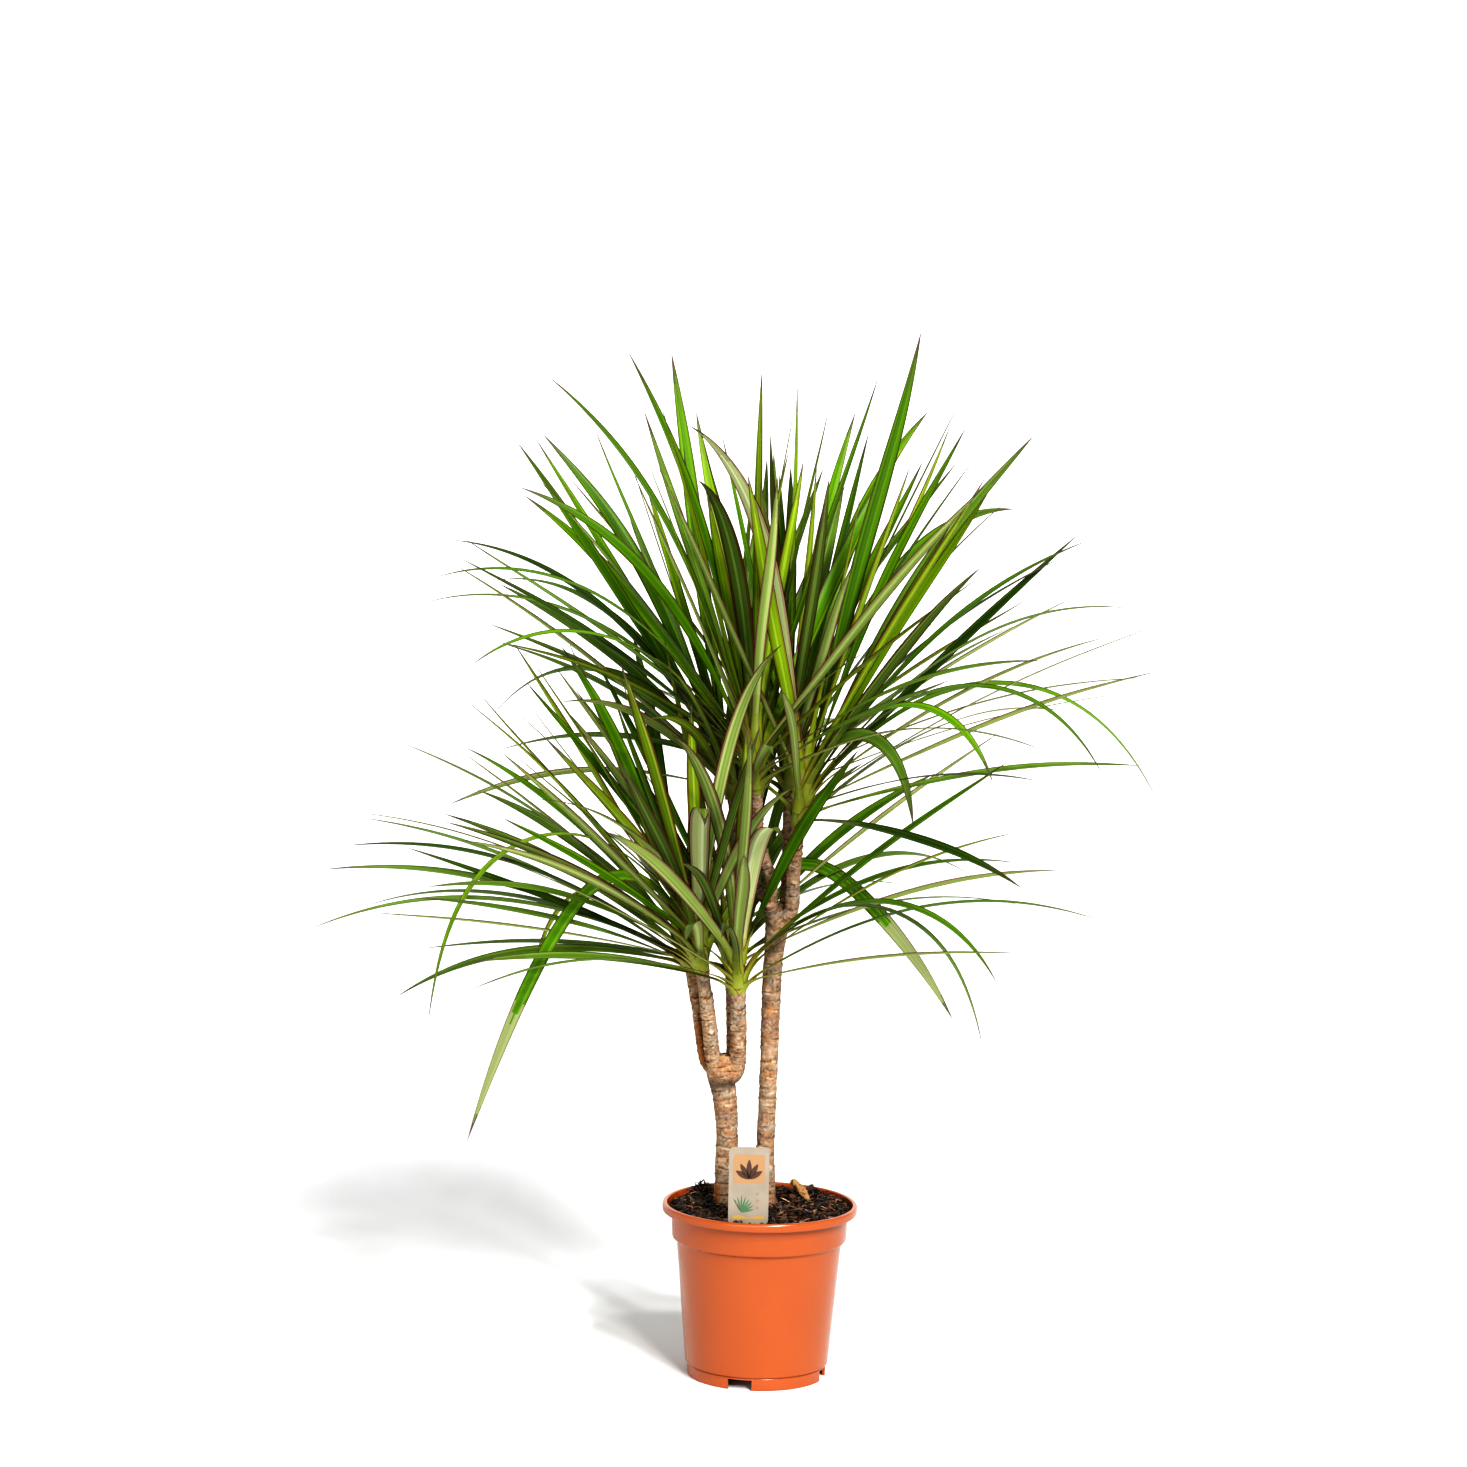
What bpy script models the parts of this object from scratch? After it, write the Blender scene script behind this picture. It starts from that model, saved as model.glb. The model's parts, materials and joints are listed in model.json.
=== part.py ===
"""A Madagascar dragon tree in its nursery pot.

Two canes stand in the soil. Each forks into four boughs, and each bough ends in a head of strap leaves.
Metres, +Z up. The origin is the middle of the pot's flat underside, and the plant is seen along +Y.
"""

import math
import random
from collections import namedtuple

import bmesh
import bpy
from mathutils import Matrix, Vector
from mathutils.bvhtree import BVHTree
from mathutils.kdtree import KDTree

MM = 0.001
GAP = 0.3
MERGE_DISTANCE = 0.00001
UNION_SEAM = 0.0000003

# Pot, in millimetres: the collar under the lip, the tapering body and the foot ring
POT_HEIGHT = 152.0
RIM_RADIUS = 85.0
RIM_INNER_RADIUS = 80.4
LIP_HEIGHT = 7.4
COLLAR_TOP_RADIUS = 77.0
COLLAR_FOOT_RADIUS = 75.9
COLLAR_FOOT_Z = 120.0
COLLAR_STEP = 1.2
LIP_ROUND = 1.8
BODY_TOP_RADIUS = 71.6
BODY_FOOT_RADIUS = 62.2
FOOT_RADIUS = 60.2
FOOT_HEIGHT = 10.5
FOOT_RING = 2.4
WALL = 1.5
PAD_RADIUS = 30.0
PAD_SLOPE = 3.0
CHANNEL_Z = 8.0
POT_STEPS = 32

# Four notches in the foot ring and eight drain holes in the channel above it
NOTCH_COUNT = 4
NOTCH_WIDTH = 21.0
NOTCH_HEIGHT = 9.0
NOTCH_FIRST_ANGLE = -104.0
DRAIN_COUNT = 8
DRAIN_RADIUS = 5.0
DRAIN_CIRCLE = 46.0
DRAIN_SIDES = 10

# Potting soil: its mean level, how far its lumps rise, and how wide it is level round a foot
SOIL_TOP = 147.0
SOIL_MOUND = 2.2
SOIL_RINGS = 5
SOIL_FIT = GAP + 0.2
FLAT_RADIUS = 15.0

# Plant label: a plate with cut-off lower corners on a pointed stake, leaning back from its shoulder
LABEL_WIDTH = 34.5
LABEL_THICKNESS = 0.8
LABEL_TOP = 213.0
LABEL_SHOULDER = 149.0
LABEL_FOOT = 116.0
LABEL_STAKE_WIDTH = 12.0
LABEL_POINT = 6.0
LABEL_CORNER = 5.0
LABEL_CORNER_STEPS = 4
LABEL_X = -10.4
LABEL_Y = -62.0
LABEL_LEAN = 6.0

# Limbs: stations of x, y, z and radius from the lower end up; a cane's first station is its flat foot
CANE_FOOT = SOIL_TOP + GAP
CANES = {
    "cane_short": [(-30.6, 10, CANE_FOOT, 10.4), (-30.6, 10, 153, 9.2), (-29.8, 10, 204, 9), (-32, 10, 238, 9.8),
                   (-35, 9, 255, 11), (-36, 8, 268, 13), (-35.5, 8, 280, 8.5)],
    "cane_tall": [(4.4, 15, CANE_FOOT, 10), (4.4, 15, 153, 8.4), (3.9, 15, 204, 6.9), (5.2, 15, 275, 6.9),
                  (5.7, 15, 328, 7.4), (7.4, 15, 374, 7.7), (10.5, 15, 397, 10.4), (11.5, 15, 408, 7.5)],
}
BOUGHS = {
    "bough_low_front": ("cane_short", [(-39, 2, 268, 6.2), (-43.5, -3, 278, 5.8), (-48.4, -6, 318, 5.4),
                                       (-53.9, -10, 353, 4.9)]),
    "bough_low_right": ("cane_short", [(-32, 4, 262, 6.4), (-25, 1, 266, 6.2), (-22.4, -1, 277, 5.8),
                                       (-22.2, -5, 305, 5.6), (-23.2, -10, 335, 5.5)]),
    "bough_low_left": ("cane_short", [(-41, 11, 265, 5.0), (-50.5, 13, 275, 4.7), (-57.5, 16, 314, 4.4),
                                      (-64.4, 20, 350, 4.2)]),
    "bough_low_back": ("cane_short", [(-32, 14, 268, 5.2), (-27, 20, 279, 5.1), (-27.5, 24, 305, 4.9),
                                      (-29.6, 30, 346, 4.7)]),
    "bough_high_front": ("cane_tall", [(7, 12, 400, 5.8), (3, 8, 411, 5.4), (3.3, 5, 435, 5.0),
                                       (-8, -1, 466, 5.2), (-11.9, -10, 507, 5.6)]),
    "bough_high_right": ("cane_tall", [(14, 14, 399, 6.4), (21.5, 12.5, 408, 6.0), (22.2, 10, 436, 5.5),
                                       (24.9, 0, 478, 5.4)]),
    "bough_high_back": ("cane_tall", [(13, 18, 400, 4.6), (16, 25, 414, 4.2), (16.9, 29, 446, 4.0),
                                      (16.6, 38, 502, 3.9)]),
    "bough_high_left": ("cane_tall", [(8, 19, 400, 4.4), (-2, 25, 415, 3.9), (-14, 30, 440, 3.6),
                                      (-26, 35, 465, 3.5), (-32, 45, 498, 3.4)]),
}
STATION_STEPS = 3
LIMB_BEVEL_RESOLUTION = 2

# Heads: the bough, the leafy stem's length, its leaf length, the first leaf's bearing in degrees, and the leaves
# that draw the crown's outline and its front: each by its tip in millimetres, its rise at the root in degrees and,
# for a broad pale leaf, its breadth beside the others'
Head = namedtuple("Head", "bough stem leaf_length first_bearing reaching")
HEADS = {
    "head_low_front": Head("bough_low_front", 62, 345, 10, [
        (-390, -50, 392, 27), (-355, -100, 472, 36), (-312, -60, 555, 46), (-248, -120, 227, 58),
        (-284, -100, 323, 60), (-54, -170, 505, 70, 1.5), (-180, -50, 640, 70), (20, -130, 535, 62, 1.1),
        (6, -120, 651, 80, 1.2)]),
    "head_low_right": Head("bough_low_right", 66, 330, 75, [
        (285, -30, 412, 34), (196, -80, 363, 48), (186, -60, 306, 50), (74, -60, 558, 66), (9, -180, 499, 66, 1.45),
        (-83, -130, 575, 76, 1.2), (-194, -180, 525, 54, 0.9)]),
    "head_low_left": Head("bough_low_left", 60, 340, 140, [
        (-392, 80, 424, 26), (-354, 50, 475, 34), (-271, 120, 531, 48), (-357, 120, 386, 24), (-208, 160, 324, 44)]),
    "head_low_back": Head("bough_low_back", 64, 325, 205, [
        (224, 120, 438, 36), (187, 160, 418, 44), (171, 140, 291, 60)]),
    "head_high_front": Head("bough_high_front", 70, 385, 40, [
        (-128, -60, 890, 78), (-192, -100, 868, 72), (-218, -50, 773, 66), (-286, -80, 697, 58),
        (-305, 20, 666, 52), (-251, -120, 628, 55), (-15, -60, 877, 86), (-66, -140, 787, 80, 1.35)]),
    "head_high_right": Head("bough_high_right", 70, 380, 100, [
        (120, 0, 911, 76), (217, -30, 826, 66), (156, -80, 833, 70), (267, 0, 735, 58), (300, -50, 682, 55),
        (337, 20, 508, 52), (281, -60, 541, 56), (185, -120, 539, 60), (120, -100, 499, 62),
        (-74, -190, 834, 76, 1.4)]),
    "head_high_back": Head("bough_high_back", 62, 370, 170, [
        (17, 100, 861, 82), (70, 150, 835, 76), (137, 200, 835, 70), (219, 220, 747, 62)]),
    "head_high_left": Head("bough_high_left", 58, 370, 250, [
        (-206, 100, 812, 68), (-94, 100, 886, 80), (-287, 120, 715, 58), (-254, 200, 673, 56), (-249, 150, 555, 52)]),
}

# Leafy stem of a head: its radius, how it narrows, and how fast it turns upright
STEM_RADIUS = 7.6
STEM_TAPER = 0.25
STEM_STEPS = 6
STEM_UPTURN = 0.14

# Leaf: its width in millimetres, its thickness as a share of its length, and the stations of its blade
LEAF_WIDTH = 12.4
LEAF_THICKNESS = 0.0105
LEAF_STATIONS = (0.0, 0.18, 0.38, 0.60, 0.82, 1.0)
MIDRIB_STEPS = 36
MOST_TWIST = 0.8
DROOP_TWIST = 1.5
UPRIGHT_TWIST = (0.7, 1.4)
SPREADING_TWIST = (0.0, 0.35)
UPRIGHT_RISE = 60.0
WIDEST = 0.58
BASE_WIDTH = 0.52
TWIST_REACH = 0.5
THIN_TIP = 0.8

# Crown rule: leaves stand round a stem by the golden angle, and the oldest spread furthest from its axis
LEAVES_PER_HEAD = 28
GOLDEN_ANGLE = 137.5
OLDEST_SPREAD = 73.0
YOUNGEST_SPREAD = 7.0
CLEARANCE = 0.6
LIMB_CLEARANCE = 3.0
THICKEST_LIMB = 14.0
OPENINGS = (((-16.0, -170.0, 385.0), (36.0, -16.0, 508.0)), ((-400.0, -400.0, 500.0), (-262.0, 400.0, 665.0)),
            ((-90.0, -400.0, 150.0), (70.0, -10.0, 345.0)))
TRIES = 14
SEED = 17

Leaf = namedtuple("Leaf", "root bearing rise droop length width knee flick twist")


def clear_scene():
    for item in list(bpy.data.objects):
        bpy.data.objects.remove(item, do_unlink=True)


def make_collection(name):
    made = bpy.data.collections.new(name)
    bpy.context.scene.collection.children.link(made)
    return made


def make_material(name, colour, roughness):
    material = bpy.data.materials.new(name)
    material.use_nodes = True
    shader = material.node_tree.nodes["Principled BSDF"]
    shader.inputs["Base Color"].default_value = (*colour, 1.0)
    shader.inputs["Roughness"].default_value = roughness
    return material


def mesh_object(name, mesh, collection, material=None):
    made = bpy.data.objects.new(name, mesh)
    collection.objects.link(made)
    if material is not None:
        mesh.materials.clear()
        mesh.materials.append(material)
    return made


def evaluated_mesh(source):
    """A copy of the object's mesh with its modifiers applied."""
    depsgraph = bpy.context.evaluated_depsgraph_get()
    depsgraph.update()
    return bpy.data.meshes.new_from_object(source.evaluated_get(depsgraph), depsgraph=depsgraph)


def add_boolean(target, operation, cutter, solver="EXACT"):
    modifier = target.modifiers.new("Boolean", "BOOLEAN")
    modifier.operation = operation
    modifier.solver = solver
    if isinstance(cutter, bpy.types.Collection):
        modifier.operand_type = "COLLECTION"
        modifier.collection = cutter
    else:
        modifier.object = cutter


def hide_cutter(cutter):
    cutter.hide_render = True
    cutter.display_type = "WIRE"


def turned_object(name, profile, steps, collection, material=None):
    """A solid of revolution: its (radius, z) profile in millimetres starts and ends on the axis."""
    mesh = bpy.data.meshes.new(name)
    points = [(radius * MM, 0.0, z * MM) for radius, z in profile]
    edges = [(index, index + 1) for index in range(len(points) - 1)]
    mesh.from_pydata(points, edges, [])
    made = mesh_object(name, mesh, collection, material)
    screw = made.modifiers.new("Turn", "SCREW")
    screw.steps = steps
    screw.render_steps = steps
    screw.use_merge_vertices = True
    screw.merge_threshold = MERGE_DISTANCE
    screw.use_smooth_shade = True
    return made


def pot_profile():
    """The pot's section: its inner face from the floor to the rim, its outer face, and its underside."""
    lip_foot = POT_HEIGHT - LIP_HEIGHT
    floor = CHANNEL_Z + WALL
    outside = [
        (RIM_INNER_RADIUS + 0.6, POT_HEIGHT),
        (RIM_RADIUS - LIP_ROUND, POT_HEIGHT),
        (RIM_RADIUS, POT_HEIGHT - LIP_ROUND),
        (RIM_RADIUS - 0.4, lip_foot),
        (COLLAR_TOP_RADIUS, lip_foot),
        (COLLAR_FOOT_RADIUS, COLLAR_FOOT_Z + COLLAR_STEP),
        (BODY_TOP_RADIUS, COLLAR_FOOT_Z - COLLAR_STEP),
        (BODY_FOOT_RADIUS, FOOT_HEIGHT + 0.8),
        (FOOT_RADIUS, FOOT_HEIGHT),
        (FOOT_RADIUS, 0.0),
    ]
    underside = [
        (FOOT_RADIUS - FOOT_RING, 0.0),
        (FOOT_RADIUS - FOOT_RING, CHANNEL_Z),
        (PAD_RADIUS + PAD_SLOPE, CHANNEL_Z),
        (PAD_RADIUS, 0.0),
        (0.0, 0.0),
    ]
    inside = [
        (0.0, WALL),
        (PAD_RADIUS - 0.8, WALL),
        (PAD_RADIUS + 2.0, floor),
        (FOOT_RADIUS - WALL, floor),
        (BODY_FOOT_RADIUS - WALL, FOOT_HEIGHT + 2.0),
        (BODY_TOP_RADIUS - WALL, COLLAR_FOOT_Z - 0.4),
        (COLLAR_FOOT_RADIUS - WALL, COLLAR_FOOT_Z + 2.6),
        (COLLAR_TOP_RADIUS - WALL, lip_foot + 1.0),
        (RIM_INNER_RADIUS, lip_foot + 1.6),
    ]
    return inside + outside + underside


def opening_cutters(collection):
    """The foot ring's notches and the drain holes."""
    made = []
    for index in range(NOTCH_COUNT):
        angle = math.radians(NOTCH_FIRST_ANGLE + index * 360.0 / NOTCH_COUNT)
        bpy.ops.mesh.primitive_cube_add(size=1.0)
        cutter = bpy.context.object
        cutter.name = f"notch_cutter_{index}"
        cutter.scale = (5.0 * FOOT_RING * MM, NOTCH_WIDTH * MM, 2.0 * NOTCH_HEIGHT * MM)
        reach = (FOOT_RADIUS - 0.5 * FOOT_RING) * MM
        cutter.location = (reach * math.cos(angle), reach * math.sin(angle), 0.0)
        cutter.rotation_euler = (0.0, 0.0, angle)
        made.append(cutter)
    for index in range(DRAIN_COUNT):
        angle = math.tau * (index + 0.5) / DRAIN_COUNT
        reach = DRAIN_CIRCLE * MM
        bpy.ops.mesh.primitive_cylinder_add(
            vertices=DRAIN_SIDES, radius=DRAIN_RADIUS * MM, depth=4.0 * WALL * MM,
            location=(reach * math.cos(angle), reach * math.sin(angle), (CHANNEL_Z + 0.5 * WALL) * MM))
        cutter = bpy.context.object
        cutter.name = f"drain_cutter_{index}"
        made.append(cutter)
    for cutter in made:
        for home in list(cutter.users_collection):
            home.objects.unlink(cutter)
        collection.objects.link(cutter)
        hide_cutter(cutter)


def make_pot(parts, cutters, material):
    pot = turned_object("pot", pot_profile(), POT_STEPS, parts, material)
    opening_cutters(cutters)
    add_boolean(pot, "DIFFERENCE", cutters)
    return pot


def soil_height(x, y):
    """The soil's lumpy surface, level at the pot's wall and round each cane's foot and the label."""
    lumps = math.sin(0.11 * x + 1.3) * math.cos(0.13 * y) + 0.6 * math.sin(0.23 * x - 0.19 * y + 0.5)
    edge = RIM_INNER_RADIUS - math.hypot(x, y)
    level = min(1.0, max(0.0, edge / FLAT_RADIUS))
    for foot in (CANES["cane_short"][0], CANES["cane_tall"][0], (LABEL_X, LABEL_Y)):
        away = math.hypot(x - foot[0], y - foot[1])
        level = min(level, max(0.0, (away - FLAT_RADIUS) / FLAT_RADIUS))
    return SOIL_TOP + SOIL_MOUND * level * lumps


def make_soil(parts, material):
    """The potting soil: a turned body that fills the pot to just below its rim, with a lumpy top."""
    floor = CHANNEL_Z + WALL + GAP
    lip_foot = POT_HEIGHT - LIP_HEIGHT
    side = [
        (RIM_INNER_RADIUS - SOIL_FIT, lip_foot + 2.1),
        (COLLAR_TOP_RADIUS - WALL - SOIL_FIT, lip_foot + 1.5),
        (COLLAR_FOOT_RADIUS - WALL - SOIL_FIT, COLLAR_FOOT_Z + 3.0),
        (BODY_TOP_RADIUS - WALL - SOIL_FIT, COLLAR_FOOT_Z - 0.1),
        (BODY_FOOT_RADIUS - WALL - SOIL_FIT, FOOT_HEIGHT + 2.2),
        (FOOT_RADIUS - WALL - SOIL_FIT, floor),
        (0.0, floor),
    ]
    edge = RIM_INNER_RADIUS - SOIL_FIT
    top = [(edge * ring / SOIL_RINGS, SOIL_TOP) for ring in range(SOIL_RINGS + 1)]
    soil = turned_object("soil", top + side, POT_STEPS, parts, material)
    mesh = evaluated_mesh(soil)
    parts.objects.unlink(soil)
    bpy.data.objects.remove(soil)
    for vertex in mesh.vertices:
        if vertex.co.z > (SOIL_TOP - 0.1) * MM:
            x, y = vertex.co.x / MM, vertex.co.y / MM
            vertex.co.z = soil_height(x, y) * MM
    return mesh_object("soil", mesh, parts, material)


def label_outline(grow):
    """The label's outline round its shoulder's middle, grown by a margin."""
    half = 0.5 * LABEL_WIDTH + grow
    stake = 0.5 * LABEL_STAKE_WIDTH + grow
    top = LABEL_TOP - LABEL_SHOULDER + grow
    foot = LABEL_FOOT - LABEL_SHOULDER - grow
    corner = LABEL_CORNER
    right = [(stake, foot + LABEL_POINT), (stake, -2.0 * corner), (half, 0.0)]
    for step in range(LABEL_CORNER_STEPS + 1):
        turn = 0.5 * math.pi * step / LABEL_CORNER_STEPS
        right.append((half - corner + corner * math.cos(turn), top - corner + corner * math.sin(turn)))
    return [(0.0, foot)] + right + [(-x, z) for x, z in reversed(right)]


def label_object(name, grow, collection, material=None):
    """The label's flat outline, given its thickness and leant back on its shoulder."""
    curve = bpy.data.curves.new(name, "CURVE")
    curve.dimensions = "2D"
    curve.fill_mode = "BOTH"
    curve.extrude = (0.5 * LABEL_THICKNESS + grow) * MM
    outline = label_outline(grow)
    spline = curve.splines.new("POLY")
    spline.points.add(len(outline) - 1)
    for point, (x, z) in zip(spline.points, outline):
        point.co = (x * MM, z * MM, 0.0, 1.0)
    spline.use_cyclic_u = True
    flat = bpy.data.objects.new(name + "_outline", curve)
    collection.objects.link(flat)
    mesh = evaluated_mesh(flat)
    bpy.data.objects.remove(flat)
    stand = Matrix.Rotation(math.radians(90.0 - LABEL_LEAN), 4, "X")
    mesh.transform(Matrix.Translation((LABEL_X * MM, LABEL_Y * MM, LABEL_SHOULDER * MM)) @ stand)
    weld(mesh)
    return mesh_object(name, mesh, collection, material)


def weld(mesh, distance=0.000002):
    """Joins the mesh's loose caps to its sides and turns its faces outwards."""
    work = bmesh.new()
    work.from_mesh(mesh)
    bmesh.ops.remove_doubles(work, verts=work.verts, dist=distance)
    bmesh.ops.recalc_face_normals(work, faces=work.faces)
    work.to_mesh(mesh)
    work.free()


def make_label(parts, cutters, soil, material):
    label = label_object("plant_label", 0.0, parts, material)
    pocket = label_object("label_pocket_cutter", GAP, cutters)
    hide_cutter(pocket)
    add_boolean(soil, "DIFFERENCE", pocket)
    return label


def smooth_route(stations):
    """Points and radii in millimetres on a Catmull-Rom curve through a limb's stations."""
    rows = [Vector(station) for station in stations]
    rows = [rows[0] * 2 - rows[1]] + rows + [rows[-1] * 2 - rows[-2]]
    route = []
    for index in range(1, len(rows) - 2):
        before, start, end, after = rows[index - 1:index + 3]
        for step in range(STATION_STEPS):
            t = step / STATION_STEPS
            bend = 2 * start + (end - before) * t + (2 * before - 5 * start + 4 * end - after) * t ** 2
            bend += (3 * start - before - 3 * end + after) * t ** 3
            route.append(bend * 0.5)
    route.append(rows[-2])
    return route


def limb_route(stations, flat_foot=False):
    """A limb's route; a cane's runs straight up from its flat foot to its second station."""
    if flat_foot:
        return [Vector(stations[0])] + smooth_route(stations[1:])
    return smooth_route(stations)


def limb_mesh(name, route, grow=0.0):
    """A tapering round limb through the route's points, with flat ends."""
    curve = bpy.data.curves.new(name, "CURVE")
    curve.dimensions = "3D"
    curve.bevel_depth = MM
    curve.bevel_resolution = LIMB_BEVEL_RESOLUTION
    curve.use_fill_caps = True
    spline = curve.splines.new("POLY")
    spline.points.add(len(route) - 1)
    for point, row in zip(spline.points, route):
        point.co = (row[0] * MM, row[1] * MM, row[2] * MM, 1.0)
        point.radius = row[3] + grow
    holder = bpy.data.objects.new(name + "_route", curve)
    bpy.context.scene.collection.objects.link(holder)
    mesh = evaluated_mesh(holder)
    bpy.data.objects.remove(holder)
    weld(mesh)
    return mesh


def lengthened(route, extra):
    """The route with both its ends moved on by a few tenths of a millimetre."""
    first, last = route[0].copy(), route[-1].copy()
    first.xyz += (first.xyz - route[1].xyz).normalized() * extra
    last.xyz += (last.xyz - route[-2].xyz).normalized() * extra
    return [first] + route[1:-1] + [last]


def make_canes(parts, cutters, soil, material):
    """The two canes, and for each a cutter that clears its neighbours by the gap."""
    gaps = {}
    for name, stations in CANES.items():
        route = limb_route(stations, flat_foot=True)
        mesh_object(name, limb_mesh(name, route), parts, material)
        cutter = mesh_object(name + "_gap", limb_mesh(name + "_gap", lengthened(route, GAP), GAP), cutters)
        hide_cutter(cutter)
        add_boolean(soil, "DIFFERENCE", cutter)
        gaps[name] = cutter
    return gaps


def make_boughs(parts, gaps, material):
    for name, (cane, stations) in BOUGHS.items():
        bough = mesh_object(name, limb_mesh(name, limb_route(stations)), parts, material)
        add_boolean(bough, "DIFFERENCE", gaps[cane])
        weld_cut = bough.modifiers.new("Weld", "WELD")
        weld_cut.merge_threshold = MERGE_DISTANCE


def stem_route(head):
    """The leafy stem's route: it goes on from its bough's tip and turns upright."""
    bough = limb_route(BOUGHS[head.bough][1])
    tip = bough[-1]
    ahead = (bough[-1].xyz - bough[-2].xyz).normalized()
    place = tip.xyz + ahead * GAP
    route = [Vector((*place, tip[3]))]
    for step in range(STEM_STEPS):
        share = step / (STEM_STEPS - 1)
        place = place + ahead * head.stem / STEM_STEPS
        route.append(Vector((*place, STEM_RADIUS * (1.0 - STEM_TAPER * share))))
        ahead = (ahead + Vector((0.0, 0.0, STEM_UPTURN))).normalized()
    return route


def route_at(route, share):
    """The place and direction at a share of the way along a route."""
    position = share * (len(route) - 1)
    index = min(int(position), len(route) - 2)
    start, end = route[index].xyz, route[index + 1].xyz
    return start.lerp(end, position - index), (end - start).normalized()


def bend_share(t, knee):
    """How much of a leaf's droop falls at t along it: ever more outwards, or most of it at a knee."""
    if knee is None:
        return 1.4 * t ** 0.4
    return 0.35 + 2.2 * math.exp(-((t - knee) / 0.14) ** 2)


def midrib(leaf):
    """Points along a leaf's midrib from its root to its tip, in millimetres."""
    points = [leaf.root.copy()]
    rise = leaf.rise
    step = leaf.length / MIDRIB_STEPS
    for index in range(MIDRIB_STEPS):
        t = (index + 0.5) / MIDRIB_STEPS
        rise -= leaf.droop * bend_share(t, leaf.knee) * math.cos(rise) / MIDRIB_STEPS
        rise += leaf.flick * max(0.0, t - 0.75) / MIDRIB_STEPS
        ahead = Vector((math.cos(rise) * math.cos(leaf.bearing), math.cos(rise) * math.sin(leaf.bearing),
                        math.sin(rise)))
        points.append(points[-1] + ahead * step)
    return points


def reaching_leaf(root, tip, rise, width, flick):
    """The leaf that leaves its root at a rise and ends at its tip: its droop is found by halving."""
    away = tip - root
    run = math.hypot(away.x, away.y)
    target = math.atan2(away.z, run)
    knee = 0.28 if math.degrees(rise - target) > 75.0 else None
    trial = Leaf(Vector((0, 0, 0)), 0.0, rise, 0.0, 1.0, width, knee, 0.0 if knee else flick, 0.0)
    low, high = -3.0, 9.0
    for _ in range(30):
        trial = trial._replace(droop=0.5 * (low + high))
        end = midrib(trial)[-1]
        if math.atan2(end.z, end.x) > target:
            low = trial.droop
        else:
            high = trial.droop
    return trial._replace(root=root, bearing=math.atan2(away.y, away.x), length=away.length / end.length)


def half_width(t):
    """A leaf's half width at t, as a share of its widest half width."""
    if t < WIDEST:
        return BASE_WIDTH + (1.0 - BASE_WIDTH) * math.sin(0.5 * math.pi * t / WIDEST)
    outer = min(1.0, (t - WIDEST) / (1.0 - WIDEST))
    return 1.0 - outer ** 1.75


def turn_at(leaf, t):
    """How far the blade has turned round its midrib at t, in radians."""
    return leaf.twist * math.sin(0.5 * math.pi * min(1.0, t / TWIST_REACH))


def blade_rings(leaf, stations, grow=0.0):
    """The blade's left edge, right edge and keel at each station, and its tip."""
    points = midrib(leaf)
    depth = LEAF_THICKNESS * leaf.length
    rings = []
    for t in stations:
        place, ahead = route_at(points, t)
        side = Vector((-math.sin(leaf.bearing), math.cos(leaf.bearing), 0.0))
        side = Matrix.Rotation(turn_at(leaf, t), 3, ahead) @ side
        above = side.cross(-ahead).normalized()
        if t == 1.0:
            rings.append([place + ahead * grow])
            break
        half = 0.5 * leaf.width * half_width(t) + grow
        keel = depth * (1.0 if t < THIN_TIP else 0.75) + grow
        rings.append([place - side * half + above * grow, place + side * half + above * grow,
                      place - above * keel])
    return rings


def blade_mesh(rings):
    """A closed three-edged blade lofted through its rings to its tip."""
    work = bmesh.new()
    levels = [[work.verts.new(corner * MM) for corner in ring] for ring in rings]
    for lower, upper in zip(levels, levels[1:]):
        for index in range(3):
            following = (index + 1) % 3
            if len(upper) == 1:
                work.faces.new((lower[index], lower[following], upper[0]))
            else:
                work.faces.new((lower[index], lower[following], upper[following], upper[index]))
    work.faces.new(reversed(levels[0]))
    bmesh.ops.triangulate(work, faces=work.faces)
    bmesh.ops.recalc_face_normals(work, faces=work.faces)
    return work


def blade_tree(leaf, stations):
    work = blade_mesh(blade_rings(leaf, stations, CLEARANCE))
    tree = BVHTree.FromBMesh(work)
    work.free()
    return tree


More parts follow.
